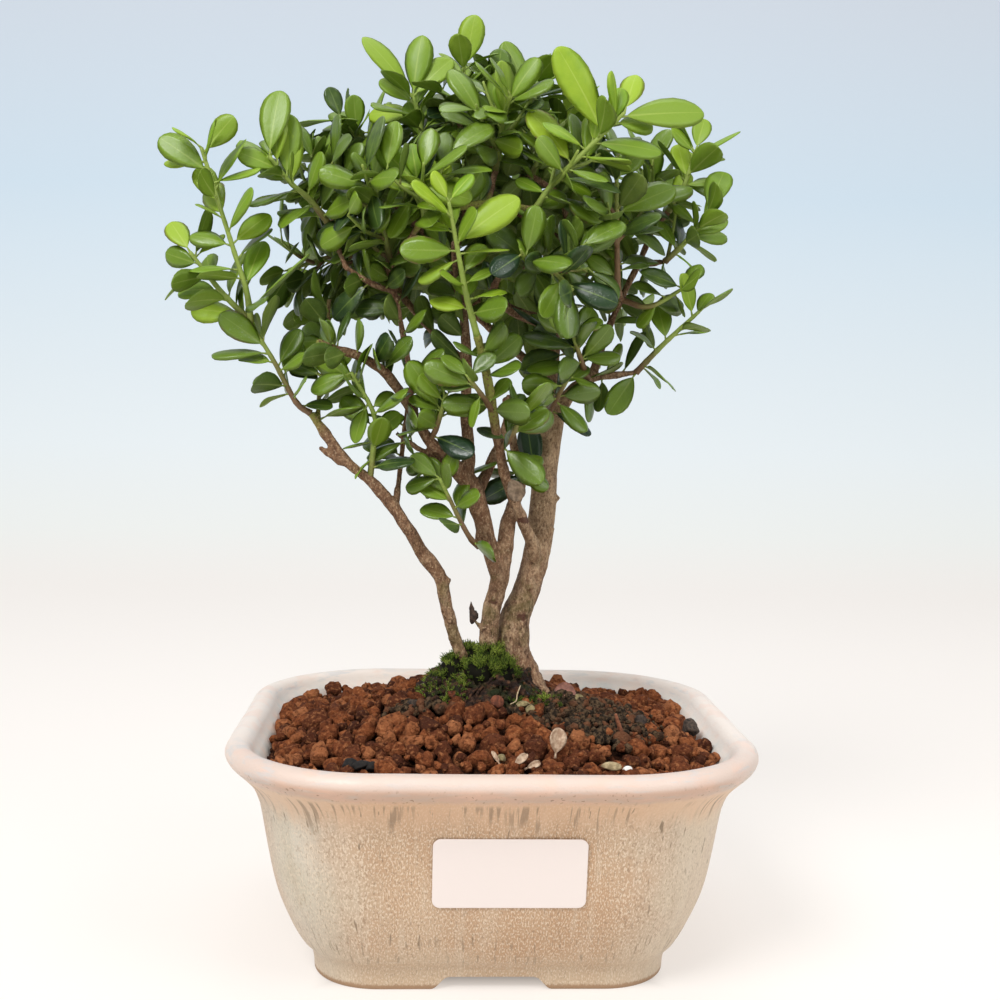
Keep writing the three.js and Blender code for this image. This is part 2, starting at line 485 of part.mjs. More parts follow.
// A cushion of moss that lies on the root ball: bumps on a patch of rings round its middle
function moss(ground, grow = 0) {
  const random = seeded(11);
  const bumps = [];
  for (let i = 0; i < MOSS.bumps; i += 1) {
    const out = Math.sqrt((i + 0.5) / MOSS.bumps);
    const turn = radians(i * GOLDEN_ANGLE);
    const x = MOSS.x + MOSS.reachX * out * Math.cos(turn);
    const y = MOSS.y + MOSS.reachY * out * Math.sin(turn);
    const size = MOSS.size * (1 - 0.3 * out + 0.2 * random()) + grow;
    const rise = Math.hypot(x - ROOT_BALL.x, y - ROOT_BALL.y) / ROOT_BALL.radius;
    const z = ROOT_BALL.top - MOSS.sunk - MOSS.fall * rise ** 2;
    bumps.push(solid(new THREE.SphereGeometry(size, MOSS.sides, 3).rotateX(Math.PI / 2).translate(x, y, z)));
  }
  return largest(joined(bumps).subtract(ground));
}

// Leaves and shoots

// A leaf blade: a seven-sided outline, wider past its middle, with a ridge over and under its rib.
// It starts behind the twig's own line, so that its root is sunk in the twig.
function blade({ root, along, normal, length, width }) {
  const leaf = new THREE.SphereGeometry(1, LEAF.sides, 2);
  const across = new THREE.Vector3().crossVectors(along, normal);
  const places = leaf.attributes.position;
  for (let i = 0; i < places.count; i += 1) {
    const [x, y, z] = [places.getX(i), places.getY(i), places.getZ(i)];
    const out = (0.5 + 0.5 * x) * (length + LEAF.sunk) - LEAF.sunk;
    const side = Math.sign(z) * Math.abs(z) ** 0.8 * (1 + 0.2 * x) * (width / 2);
    const lift = (y * LEAF.thick) / 2 - LEAF.droop * length * (0.5 + 0.5 * x) ** 2;
    const place = root.clone().addScaledVector(along, out).addScaledVector(across, side);
    place.addScaledVector(normal, lift);
    places.setXYZ(i, place.x, place.y, place.z);
  }
  return solid(leaf);
}

// A long leaf is narrower for its length than a short one
function widthOf(length) {
  return length * (LEAF.slender - LEAF.narrows * length);
}

function upright(direction, wanted) {
  return wanted.clone().addScaledVector(direction, -wanted.dot(direction)).normalize();
}

function pointOn(path, share) {
  const lengths = path.slice(1).map((p, i) => p.distanceTo(path[i]));
  let left = share * lengths.reduce((sum, l) => sum + l, 0);
  let i = 0;
  while (i < lengths.length - 1 && left > lengths[i]) {
    left -= lengths[i];
    i += 1;
  }
  const along = path[i + 1].clone().sub(path[i]).normalize();
  return { point: path[i].clone().addScaledVector(along, Math.min(left, lengths[i])), along };
}

// A leaf that the shoot's list gives by its lean and by how much of its face shows
function listedLeaf(path, [share, lean, face, length], random) {
  const { point } = pointOn(path, share);
  const depth = 0.9 * (random() - 0.5);
  const along = new THREE.Vector3(Math.sin(radians(lean)), depth, Math.cos(radians(lean))).normalize();
  const up = upright(along, new THREE.Vector3(0, 0.35, 1));
  const toViewer = upright(along, new THREE.Vector3(0, -1, 0));
  const normal = up.multiplyScalar(Math.cos(radians(face)));
  normal.addScaledVector(toViewer, Math.sin(radians(face)));
  const whole = length / Math.sqrt(1 - depth * depth);
  return { root: point, along, normal: upright(along, normal), length: whole, width: widthOf(whole) };
}

// A leaf that the rule places: each turned by two fifths of a turn from the one before it
function ruledLeaf(path, share, order, random) {
  const { point, along: twig } = pointOn(path, share);
  const turn = radians(144 * order + 40 * (random() - 0.5));
  const open = radians(30 + 36 * (1 - share) + 10 * random());
  const side = upright(twig, new THREE.Vector3(0.9, 0.3, 0.1));
  const other = new THREE.Vector3().crossVectors(twig, side);
  const out = side.multiplyScalar(Math.cos(turn)).addScaledVector(other, Math.sin(turn));
  const along = twig.clone().multiplyScalar(Math.cos(open)).addScaledVector(out, Math.sin(open)).normalize();
  const light = point.clone().sub(vector(CROWN.middle)).setLength(0.5).add(new THREE.Vector3(0, 0, 0.7));
  const normal = upright(along, light.add(twig));
  const length = 10.5 + 4.5 * random();
  return { root: point, along, normal, length, width: widthOf(length) };
}

function turned(leaf, [degrees, size]) {
  const spin = new THREE.Quaternion().setFromAxisAngle(leaf.normal, radians(degrees));
  const along = leaf.along.clone().applyQuaternion(spin);
  return { ...leaf, along, length: leaf.length * size, width: leaf.width * size };
}

// Where the first try of a leaf would touch another piece, it is turned and shortened by these in order
const TRIES = [[0, 1], [16, 1], [-16, 1], [32, 0.92], [-32, 0.92], [50, 0.85], [-50, 0.85]];

function clears(body, others) {
  const reach = body.boundingBox();
  return others.every((other) => {
    const far = other.boundingBox();
    const apart = [0, 1, 2].some((k) => far.min[k] - reach.max[k] > GAP || reach.min[k] - far.max[k] > GAP);
    return apart || other.minGap(body, 2 * GAP) > GAP;
  });
}

function leafyBody(stem, leaves, others) {
  let body = stem;
  const grown = [];
  for (const leaf of leaves) {
    for (const attempt of TRIES) {
      const tried = blade(turned(leaf, attempt));
      const crossing = grown.some((other) => other.intersect(tried).volume() > 0.02);
      if (crossing || !clears(tried, others)) continue;
      grown.push(tried);
      body = body.add(tried);
      break;
    }
  }
  return largest(body);
}

// The twigs' roots: every shoot starts from wood, so a twig of wood is drawn to it from the nearest bend

const woodBars = [...STEMS, ...ROOTS];
const buds = [];
for (const { bends } of STEMS) {
  for (const [x, y, z, radius] of bends) {
    if (z > TAKES_TWIGS_ABOVE) buds.push({ place: new THREE.Vector3(x, y, z), radius });
  }
}

function nearestBud(place) {
  const cost = (bud) => bud.place.distanceTo(place) + 0.7 * Math.max(0, bud.place.z - place.z + 3);
  return buds.reduce((best, bud) => (cost(bud) < cost(best) ? bud : best));
}

function growTwigTo(place) {
  const bud = nearestBud(place);
  const length = bud.place.distanceTo(place);
  if (length < 2.5) return bud.place.clone();
  const start = [...bud.place.toArray(), Math.min(bud.radius, 1.05)];
  const end = [...place.toArray(), 0.85];
  buds.push({ place: place.clone(), radius: 0.85 });
  if (length < STRAIGHT_TWIG) {
    woodBars.push({ sides: 3, bends: [start, end] });
    return place.clone();
  }
  const middle = bud.place.clone().add(place).multiplyScalar(0.5);
  middle.z += 0.08 * length;
  middle.x += 0.06 * length * Math.sin(place.x * 0.9 + place.z);
  middle.y += 0.06 * length * Math.cos(place.y * 0.8 + place.z);
  woodBars.push({ sides: 3, bends: [start, [...middle.toArray(), 0.95], end] });
  buds.push({ place: middle, radius: 0.95 });
  return place.clone();
}

const shoots = SHOOTS.map((shoot, index) => {
  const random = seeded(100 + index);
  const path = shoot.path.map(vector);
  if (!shoot.joins) path[0] = growTwigTo(path[0]);
  const leaves = shoot.leaves.map((leaf) => listedLeaf(path, leaf, random));
  return { name: shoot.name, joins: shoot.joins, path, leaves };
});

// The rest of the crown: tips on a golden-angle spiral over it, wherever no shoot is near yet
let filled = 0;
for (let i = 0; i < FILL.tries && filled < FILL.most; i += 1) {
  const k = (i * FILL.step) % FILL.tries;
  const random = seeded(500 + k);
  const rise = -0.42 + (1.36 * (k + 0.5)) / FILL.tries;
  const level = Math.sqrt(1 - rise * rise);
  const turn = radians(k * GOLDEN_ANGLE + 20);
  const out = new THREE.Vector3(level * Math.cos(turn), level * Math.sin(turn), rise);
  out.multiply(vector(CROWN.reach));
  const tip = vector(CROWN.middle).add(out);
  const near = shoots.some(({ path }) => path.some((p) => p.distanceTo(tip) < FILL.spread));
  if (near) continue;
  const root = vector(CROWN.middle).addScaledVector(out, FILL.rootAt);
  root.z += 4 * (random() - 0.5);
  const middle = root.clone().add(tip).multiplyScalar(0.5);
  middle.z += 2.5;
  const path = [growTwigTo(root), middle, tip];
  const leaves = [];
  for (let order = 0; order < FILL.leaves; order += 1) {
    leaves.push(ruledLeaf(path, 0.22 + (0.78 * order) / (FILL.leaves - 1), order, random));
  }
  filled += 1;
  shoots.push({ name: `crown_${String(filled).padStart(2, '0')}`, path, leaves });
}

const bar = ({ sides, bends }, grow) => bentBar(bends.map(vector), bends.map((b) => b[3]), sides, grow);
const wood = largest(joined(woodBars.map((part) => bar(part, 0)))).simplify(EVEN_OUT);
const woodClear = joined(woodBars.map((part) => bar(part, GAP)));

// Assembly

const group = new THREE.Group();
const ball = rootBall();
const mossBody = moss(rootBall(GAP).add(woodClear));
const meshes = [-DRAIN.x, DRAIN.x].map(drainMesh);
let soilBody = potFilling(GAP).intersect(grainSlab()).subtract(rootBall(GAP)).subtract(woodClear);
soilBody = soilBody.subtract(moss(ball, GAP));
for (const x of [-DRAIN.x, DRAIN.x]) {
  const half = DRAIN.meshSide / 2 + GAP;
  const top = POT.floor + DRAIN.meshThick + 2 * GAP;
  soilBody = soilBody.subtract(box([x - half, DRAIN.y - half, 0], [x + half, DRAIN.y + half, top]));
}

group.add(node('pot', pot(), COLOURS.glaze, 0.35));
group.add(node('label', label(), COLOURS.paper, 0.5));
group.add(node('drain_mesh_left', meshes[0], COLOURS.plastic, 0.6));
group.add(node('drain_mesh_right', meshes[1], COLOURS.plastic, 0.6));
group.add(node('soil', largest(soilBody), COLOURS.soil, 0.95));
group.add(node('root_ball', largest(ball.subtract(woodClear)), COLOURS.rootBall, 0.95));
group.add(node('moss', mossBody, COLOURS.moss, 0.9));
group.add(node('wood', wood, COLOURS.bark, 0.85));

// Leaves keep clear of the wood, of every other shoot's twig and of the shoots grown before theirs
const sprays = shoots.filter(({ joins }) => !joins).map((shoot) => {
  const parts = shoots.filter((other) => other === shoot || other.joins === shoot.name);
  const stems = parts.map(({ path }) => bentBar(path, path.map(() => TWIG.radius), TWIG.sides));
  const stem = largest(joined(stems).subtract(woodClear));
  return { name: shoot.name, stem, leaves: parts.flatMap(({ leaves }) => leaves) };
});
const grown = sprays.map(({ stem }) => stem);
sprays.forEach(({ name, stem, leaves }, index) => {
  const others = [wood, ...grown.filter((body, i) => i !== index)];
  grown[index] = leafyBody(stem, leaves, others);
  group.add(node(`shoot_${name}`, grown[index], COLOURS.leaf, 0.4));
});

const bounds = new THREE.Box3().setFromObject(group);
const centre = bounds.getCenter(new THREE.Vector3());
group.position.set(-centre.x, -centre.y, -bounds.min.z);
group.updateMatrixWorld(true);

export default group;
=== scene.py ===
"""The looks of a small Japanese holly bonsai in a glazed pot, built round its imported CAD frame.

Plan sizes are in millimetres from the middle of the pot's foot, and Parts.build turns every mesh into
metres in the frame's own place. The shoots' lists and the rule that grows the crown repeat those of the
CAD part, so that each fine leaf lies where the frame has a plain one.
"""
import json
import math

import bmesh
import bpy
import numpy as np
from mathutils import Matrix, Vector
from mathutils.bvhtree import BVHTree
from mathutils.noise import fractal

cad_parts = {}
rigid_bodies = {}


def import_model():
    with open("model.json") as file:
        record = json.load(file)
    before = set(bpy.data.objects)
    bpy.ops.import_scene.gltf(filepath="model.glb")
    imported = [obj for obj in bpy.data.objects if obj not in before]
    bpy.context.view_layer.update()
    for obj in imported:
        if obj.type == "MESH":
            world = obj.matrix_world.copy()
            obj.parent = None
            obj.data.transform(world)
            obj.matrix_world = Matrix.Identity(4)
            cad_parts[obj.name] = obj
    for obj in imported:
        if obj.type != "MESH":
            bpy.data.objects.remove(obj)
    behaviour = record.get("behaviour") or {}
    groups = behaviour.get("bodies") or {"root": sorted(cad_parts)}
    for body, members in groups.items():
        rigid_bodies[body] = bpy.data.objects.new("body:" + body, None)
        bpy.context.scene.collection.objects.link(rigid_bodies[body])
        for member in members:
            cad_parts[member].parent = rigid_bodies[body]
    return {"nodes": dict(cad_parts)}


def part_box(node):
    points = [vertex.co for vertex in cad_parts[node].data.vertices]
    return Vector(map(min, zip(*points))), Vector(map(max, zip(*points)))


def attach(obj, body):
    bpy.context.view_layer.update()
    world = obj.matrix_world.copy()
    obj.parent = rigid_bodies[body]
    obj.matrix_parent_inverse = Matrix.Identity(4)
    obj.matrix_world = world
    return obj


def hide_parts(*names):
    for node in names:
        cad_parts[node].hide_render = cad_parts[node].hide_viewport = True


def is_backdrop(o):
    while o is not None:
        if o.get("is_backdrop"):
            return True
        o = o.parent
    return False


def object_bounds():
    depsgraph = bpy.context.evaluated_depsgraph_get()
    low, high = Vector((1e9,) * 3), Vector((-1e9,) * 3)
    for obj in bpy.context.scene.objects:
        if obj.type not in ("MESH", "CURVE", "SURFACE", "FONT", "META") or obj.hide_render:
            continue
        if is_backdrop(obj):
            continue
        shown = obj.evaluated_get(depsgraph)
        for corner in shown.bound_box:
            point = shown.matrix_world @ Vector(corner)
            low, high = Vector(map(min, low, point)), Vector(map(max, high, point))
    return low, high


for startup_object in list(bpy.data.objects):
    bpy.data.objects.remove(startup_object)

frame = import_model()
cad_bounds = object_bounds()
MM = 0.001
pot_low, pot_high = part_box("pot")
POT_MIDDLE = np.array([(pot_low.x + pot_high.x) / 2, (pot_low.y + pot_high.y) / 2, pot_low.z]) / MM

# Driving sizes, millimetres

POT = {
    "flat": 29,
    "outside": [
        (46.0, 0), (46.3, 0.5), (46.4, 2), (46.6, 3.6), (47.0, 5.4), (47.9, 6.9), (49.6, 8.4), (52.8, 14),
        (56.9, 24.5), (60.4, 42.4), (61.4, 46.2), (62.8, 49.4), (64.6, 51.7), (66.9, 53.9), (69.0, 55.9),
        (70.0, 57.9), (69.6, 59.7), (68.3, 60.9), (66.6, 61.2),
    ],
    "inside": [(65.0, 60.9), (63.6, 59.8), (62.4, 58), (59.2, 52.5), (51.4, 25), (46.6, 12.5), (40, 9)],
    "floor": 9,
    "under": 3.4,
}
RING = {"straight": 44, "bend": 30}  # steps along each straight run and round each corner
FOOT = {"arch_top": 22, "arch_bottom": 31, "height": 3.4, "ring": 9}
DRAIN = {"x": 24, "radius": 7}
LABEL = {"width": 38.0, "height": 18.7, "x": 3.4, "z": 34.7, "corner": 2.0}
ROOT_BALL = {"x": -2, "y": -3, "radius": 19.5, "low": 26, "shoulder": 64, "top": 78, "around": 110, "up": 40}
SOIL = {"edge": 55.4, "rise": 13.6, "room_at": 56}
SOIL_BED = {
    "low": 9.6, "sunk": 1.8,
    "wall": [(20, 9.6), (34, 9.6), (39.4, 9.6), (45.8, 13), (51, 25.5), (56.6, 45), (58.3, 51.5)],
    "top": [57, 52, 46, 40, 34, 28, 22, 16, 10, 4],
}
GRAINS = {"top": 740, "low": 430, "crumbs": 430, "grit": 1100, "on_ball": 520, "least": 1.6, "more": 2.2}
OLD_ROOTS = 34
MOSS = {"x": -3, "y": -6.5, "wide": 8.8, "deep": 9, "sunk": 1.7, "slope": 10, "bump": 5.9, "bumps": 7}
MOSS_STRANDS = {"cushion": 2000, "fringe": 420, "tufts": 46, "in_tuft": 5, "star": 14}
FRINGE = {"from": 145, "degrees": 110, "low": 0.42, "spread": 0.42}
TUFTS = {"x": 12.5, "y": -14.5, "wide": 14, "deep": 12, "lift": 1.6}
STAR = (14.4, -18.4, 69.0)
CROWN = {"middle": (-4, 8, 196), "reach": (56, 50, 47)}
FILL = {"tries": 60, "step": 23, "most": 17, "spread": 19, "root_at": 0.5, "leaves": 7}
LEAF = {"droop": 0.14, "slender": 0.68, "narrows": 0.012}
GOLDEN_ANGLE = 137.508
TWIG = {"from": 118, "nearest": 2.5, "straight": 20, "start": 1.05, "middle": 0.95, "end": 0.85}
BARK = {"step": 1.2, "sides": 14, "voxel": 0.58, "smoothing": 0.5, "rounds": 3}

# The wood: x, y, z and radius of each bend, as in the CAD part

STEMS = [
  [  # root crown and thick right stem
    [4, -3, 44, 2.5], [6, -3, 54, 5.0], [11.5, -1, 62, 6.0], [12, -1, 67, 5.0], [9.6, 0, 73, 4.3],
    [7, 0, 79, 4.5], [6.6, 0, 84, 4.5], [7.5, 1, 90, 4.2], [10, 2, 95.5, 3.7], [12.3, 3, 103, 3.8],
    [14, 4, 114, 3.9], [15, 5, 122, 3.8], [15.4, 6, 133, 3.5], [17.6, 8, 147, 3.1], [16, 10, 157, 2.8],
    [17, 12, 167, 2.5], [15, 14, 173, 2.2], [9, 12, 175, 1.8], [4, 10, 177, 1.5], [-1, 8, 181, 1.3]],
  [  # its right fork, into the right half of the crown
    [17, 8, 144, 2.4], [22, 6, 153, 1.9], [27, 4, 157, 1.6], [29, 4, 161, 1.3], [32, 5, 170, 1.1],
    [36, 6, 180, 1.0], [41, 8, 190, 0.9]],
  [[27, 4, 157, 1.1], [33, 2, 158, 1.0], [40, 0, 159, 0.9]],
  [  # middle stem
    [5, -3, 55, 3.4], [0, -4, 68, 3.2], [-1, -4, 76, 2.8], [0, -4, 89, 2.4], [3, -5, 105, 2.4],
    [4, -4, 114, 2.3], [6, -2, 121, 1.9], [8, 2, 129, 1.6], [6, 6, 139, 1.4], [4, 8, 151, 1.2]],
  [  # its left fork, then the long branch to the left
    [2.2, -5, 100, 2.1], [-0.9, -7.5, 110.5, 2.3], [-3.7, -9, 119, 2.5], [-6.4, -10, 127, 2.9],
    [-11, -12, 132, 2.1], [-13.5, -13, 136, 1.8], [-18, -14, 139, 1.6], [-24, -15, 149, 1.5],
    [-30, -17, 157, 1.4], [-36, -18, 161, 1.2], [-42, -19, 163, 1.0], [-48, -20, 165, 0.8]],
  [  # upright twigs off the long branch
    [-24, -15, 149, 0.9], [-23, -14, 154, 0.9], [-25, -13, 165, 0.9], [-28, -12, 179, 0.9],
    [-30, -10, 188, 0.8]],
  [[-28, -12, 179, 0.8], [-34, -14, 181, 0.8], [-41, -16, 185, 0.7]],
  [  # upright branch behind the left fork
    [-8, -11, 127, 2.0], [-7, -10, 134, 1.9], [-8, -7, 146, 1.7], [-8, -4, 161, 1.5], [-9, 0, 174, 1.3],
    [-11, 3, 183, 1.0], [-12, 5, 195, 0.9]],
  [
    [-4.6, -9, 125, 1.7], [-2.2, -7, 130, 1.6], [0, -5, 135, 1.4], [3, -3, 142, 1.1], [4, -2, 152, 0.8]],
  [  # lower branch to the left
    [-9, -11, 130, 1.3], [-14.5, -11, 133.5, 1.1], [-20.5, -13, 136.6, 0.9], [-27, -14, 141, 0.8]],
  [  # long front branch of the thick stem
    [12.6, 0, 106, 2.2], [11, -3, 111, 1.9], [8, -7, 118, 1.6], [4, -12, 126, 1.5], [1, -17, 137, 1.4],
    [-3, -25, 156, 1.3], [-6, -29, 167, 1.1]],
  [  # thin left stem with its knee
    [5, -3, 54, 2.4], [-4, -5, 70, 1.9], [-8, -6, 78, 1.6], [-12, -8, 91, 1.7], [-14, -9, 100, 1.8],
    [-16, -9, 104, 2.0], [-20, -10, 109, 1.8], [-27, -12, 120, 1.8], [-34, -13, 128, 1.6],
    [-41, -14, 134, 1.4], [-50, -15, 146, 1.1]],
  [
    [-48, -14, 144, 0.8], [-48, -12, 151, 0.8], [-46, -10, 165, 0.7], [-46, -8, 177, 0.7]],
  [
    [-27, -12, 120, 0.8], [-26, -8, 130, 0.8], [-25, -4, 141, 0.8], [-23, 2, 159, 0.7]],
  [  # branches to the hidden back of the crown
    [16, 5, 127, 2.2], [17, 14, 138, 1.8], [16, 24, 152, 1.5], [18, 32, 168, 1.2], [16, 37, 184, 1.0]],
  [[16, 10, 157, 1.6], [6, 20, 166, 1.3], [-6, 30, 178, 1.1], [-12, 34, 190, 0.9]],
  [[15, 14, 172, 1.4], [20, 16, 182, 1.2], [22, 18, 196, 1.0], [20, 18, 210, 0.9]],
  [
    [-8, -4, 160, 1.2], [-18, 6, 170, 1.1], [-28, 14, 182, 1.0], [-36, 16, 194, 0.8]],
]
ROOTS = [  # surface roots that run from the thick stem into the soil
  [[10, -1, 69, 3.6], [17, -3, 65.5, 2.6], [23, -4, 59, 1.6]],
  [[10, -2, 69, 3.4], [11, -9, 65.5, 2.4], [12, -14, 58, 1.4]],
]

# Shoots that face the viewer: name, how young it is from 0 to 1, bends, then each leaf as its place along
# the shoot, its lean in degrees, how much of its face shows in degrees, and its length

SHOOTS = (
    ("left_fork", 0.35, [[-50, -15, 146], [-54, -15, 149], [-60, -16, 160], [-67, -16, 171]],
     [[0.1, 80, 50, 8], [0.25, -105, 10, 9], [0.35, -85, 60, 9], [0.4, 20, 80, 11], [0.5, 25, 60, 12],
      [0.55, -80, 45, 10], [0.7, -50, 70, 13], [0.75, -5, 40, 8]]),
    ("left_high", 0.75, [[-66, -16, 170], [-67, -18, 178], [-70, -20, 188], [-78, -24, 214]],
     [[0.05, 40, 30, 22], [0.2, 15, 75, 14], [0.3, -75, 35, 13], [0.45, 45, 75, 13], [0.6, -60, 30, 8],
      [0.68, -30, 80, 12], [0.8, 65, 40, 13], [0.92, -80, 60, 12], [0.97, 40, 80, 12], [1, -45, 30, 8]]),
    ("left_low", 0.65, [[-66, -16, 170], [-74, -16, 178], [-82, -17, 188]],
     [[0.1, -80, 55, 15], [0.75, -115, 25, 13], [0.92, 40, 40, 10], [1, -35, 80, 11]]),
    ("left_inner", 0.6, [[-34, -13, 128], [-33, -15, 138], [-33, -16, 146], [-39, -18, 157]],
     [[0.2, -130, 20, 7], [0.35, -95, 20, 10], [0.4, 45, 70, 9], [0.65, 55, 70, 8], [0.7, -155, 55, 11],
      [0.95, 20, 35, 10], [1, -110, 65, 12]]),
    ("left_spike", 0.55, [[-46, -10, 197], [-51, -14, 203], [-56, -17, 207], [-61, -20, 213]],
     [[0.1, -75, 40, 13], [0.3, 10, 30, 13], [0.5, -95, 20, 13], [0.6, -5, 80, 14], [0.7, 0, 70, 17],
      [0.8, -80, 70, 11], [0.92, -50, 50, 12], [1, 5, 65, 18]]),
    ("upper_left", 0.45, [[-36, -4, 207], [-44, -8, 207], [-50, -14, 213]],
     [[0.25, 10, 50, 14], [0.35, -35, 60, 16], [0.6, -105, 30, 10], [0.9, 20, 40, 15], [1, -20, 55, 12]]),
    ("upper_left_back", 0.3, [[-32, 10, 217], [-38, 8, 223], [-44, 5, 228]],
     [[0.2, -40, 15, 14], [0.4, 50, 60, 10], [0.65, -5, 80, 10], [0.8, -85, 40, 8], [1, -20, 70, 9]]),
    ("left_front", 0.5, [[-29, -12, 186], [-31, -16, 195], [-34, -20, 207]],
     [[0.2, -105, 60, 10], [0.35, 70, 60, 8], [0.45, -70, 40, 11], [0.7, 65, 50, 8], [0.78, -75, 55, 13],
      [1, -30, 60, 9], [1, 15, 65, 11]]),
    ("crown_left", 0.7, [[-21, 0, 219], [-22, -2, 227], [-24, -3, 233]],
     [[0, 55, 50, 16], [0.2, -20, 80, 11], [0.35, 40, 20, 15], [0.6, -75, 65, 15], [0.85, -50, 60, 12],
      [1, -35, 55, 20], [1, 5, 60, 17], [1, 40, 70, 15]]),
    ("crown_front_left", 0.95, [[-20, -24, 198], [-21, -26, 202], [-22, -27, 206]],
     [[0.3, -105, 50, 8], [0.45, 60, 60, 8], [0.75, -65, 50, 9], [0.95, 50, 50, 9], [1, -10, 85, 10]]),
    ("crown_mid", 0.5, [[-10, 0, 220], [-11, -2, 229], [-10, -2, 241]],
     [[0.3, 60, 60, 9], [0.5, -55, 50, 9], [0.7, 55, 50, 9], [0.9, -45, 45, 11], [1, 55, 30, 10],
      [1, 10, 75, 15]]),
    ("crown_right_mid", 0.5, [[3, 0, 220], [1, -3, 228], [-1, -4, 236]],
     [[0.2, 25, 60, 9], [0.45, -30, 50, 11], [0.75, -80, 30, 8], [0.95, 45, 50, 11], [1, -40, 40, 11],
      [1, 5, 80, 12]]),
    ("crown_right", 0.6, [[5, 6, 221], [6, 4, 231], [9, 2, 239]],
     [[0.2, 75, 50, 9], [0.5, -65, 50, 8], [0.7, 75, 20, 13], [0.85, -25, 70, 15], [0.95, 55, 60, 9],
      [1, 25, 25, 10]]),
    ("right_high", 0.8, [[9, -20, 201], [14, -23, 208], [23, -27, 217], [31, -29, 225]],
     [[0.15, -60, 60, 9], [0.3, 105, 50, 10], [0.45, -35, 70, 18], [0.6, -50, 50, 13], [0.68, 90, 60, 18],
      [0.78, -30, 75, 23], [0.88, 10, 70, 10], [0.96, 80, 75, 24], [1, 15, 75, 12]]),
    ("right_mid", 0.3, [[33, -10, 181], [32, -13, 194], [31, -16, 216]],
     [[0.1, -55, 70, 10], [0.15, 70, 40, 9], [0.3, -60, 40, 9], [0.4, 65, 45, 14], [0.48, -55, 50, 17],
      [0.58, 60, 70, 18], [0.7, -105, 60, 8], [0.85, -60, 50, 9], [1, 40, 60, 9]]),
    ("right_back", 0.5, [[46, 14, 201], [46, 14, 208], [42, 14, 218]],
     [[0.4, -60, 50, 9], [0.55, 60, 60, 11], [0.75, 75, 60, 11], [0.85, 20, 55, 15], [1, -45, 50, 10]]),
    ("far_right_high", 0.65, [[49, 6, 205], [53, 5, 212], [56, 4, 222]],
     [[0.1, 75, 30, 9], [0.2, 20, 70, 10], [0.45, 75, 50, 9], [0.55, -10, 80, 11], [0.85, 75, 40, 10],
      [0.95, -45, 60, 9], [1, 15, 75, 10]]),
    ("far_right", 0.55, [[47, -2, 190], [52, -4, 195], [58, -6, 203]],
     [[0.2, 120, 30, 9], [0.25, -20, 60, 10], [0.45, 105, 15, 10], [0.6, 65, 70, 10], [0.75, -40, 50, 9],
      [1, 20, 70, 15]]),
    ("low_right", 0.5, [[40, 0, 159], [47, -4, 167], [56, -8, 176]],
     [[0, -145, 85, 13], [0.1, 130, 30, 8], [0.35, -50, 40, 9], [0.5, -10, 80, 11], [0.6, 75, 20, 10],
      [0.9, -15, 55, 12], [0.95, 30, 60, 8], [1, 50, 15, 11]]),
    ("low_right_upper", 0.35, [[35, -4, 179], [42, -8, 177], [51, -10, 182]],
     [[0.3, 145, 40, 8], [0.6, -135, 50, 9], [0.72, -65, 45, 10], [0.85, 135, 40, 8], [1, -55, 55, 13],
      [1, 30, 50, 9]]),
    ("low_mid_right", 0.25, [[26, -2, 157], [23, -9, 163], [20, -14, 170]],
     [[0.3, 25, 60, 8], [0.35, -100, 45, 14], [0.45, 80, 50, 11], [0.65, -70, 50, 15], [0.85, -35, 70, 14],
      [0.92, 60, 50, 9], [1, -20, 60, 10]]),
    ("low_mid_left", 0.2, [[15, 2, 146], [17, -6, 151], [21, -10, 159]],
     [[0.45, 125, 50, 11], [0.55, -55, 50, 9], [0.75, 45, 60, 9], [0.9, 105, 40, 8], [1, -20, 50, 9]]),
    ("front_low", 0.15, [[-1, -21, 147], [-4, -27, 151], [-8, -31, 156]],
     [[0.3, 35, 50, 9], [0.6, -160, 50, 9], [0.75, -80, 50, 9], [1, -45, 60, 9], [1, 30, 60, 9]]),
    ("trunk_front", 0.15, [[1, -17, 137], [4, -22, 141], [6, -23, 146]],
     [[0.4, -65, 50, 9], [0.6, 50, 60, 11], [0.85, 45, 50, 12], [1, -20, 50, 9]]),
    ("front_high", 0.85, [[-6, -29, 167], [-9, -32, 177], [-11, -34, 186], [-14, -37, 200]],
     [[0.2, -70, 60, 11], [0.28, 70, 30, 10], [0.4, 60, 50, 9], [0.58, -110, 50, 12], [0.62, 75, 30, 13],
      [0.7, 50, 75, 19], [0.78, -70, 50, 9], [0.92, -65, 50, 9], [1, -25, 60, 8], [1, 35, 60, 9]]),
    ("hang_left", 0.25, [[-4, -8, 110], [-6, -12, 112], [-9, -14, 117], [-15, -17, 129]],
     [[0.5, -75, 55, 11], [0.6, 10, 50, 9], [0.7, -55, 60, 10], [0.92, 15, 60, 9], [1, -100, 60, 10],
      [1, -50, 70, 10]]),
    ("mid_left_low", 0.3, [[-17, -14, 139], [-16, -18, 143], [-14, -23, 151]],
     [[0.3, -15, 80, 9], [0.35, -90, 15, 10], [0.7, -60, 50, 9], [0.9, -40, 60, 9], [1, 35, 60, 9]]),
    ("trunk_low", 0.1, [[15, 4, 127], [7, -6, 131], [4, -10, 134]],
     [[0.7, 115, 60, 9], [0.9, 75, 50, 9], [1, -100, 25, 13]]),
)
JOINS = {"left_high": "left_fork", "left_low": "left_fork"}  # shoots that fork from another


# Seeded randomness and small vector helpers


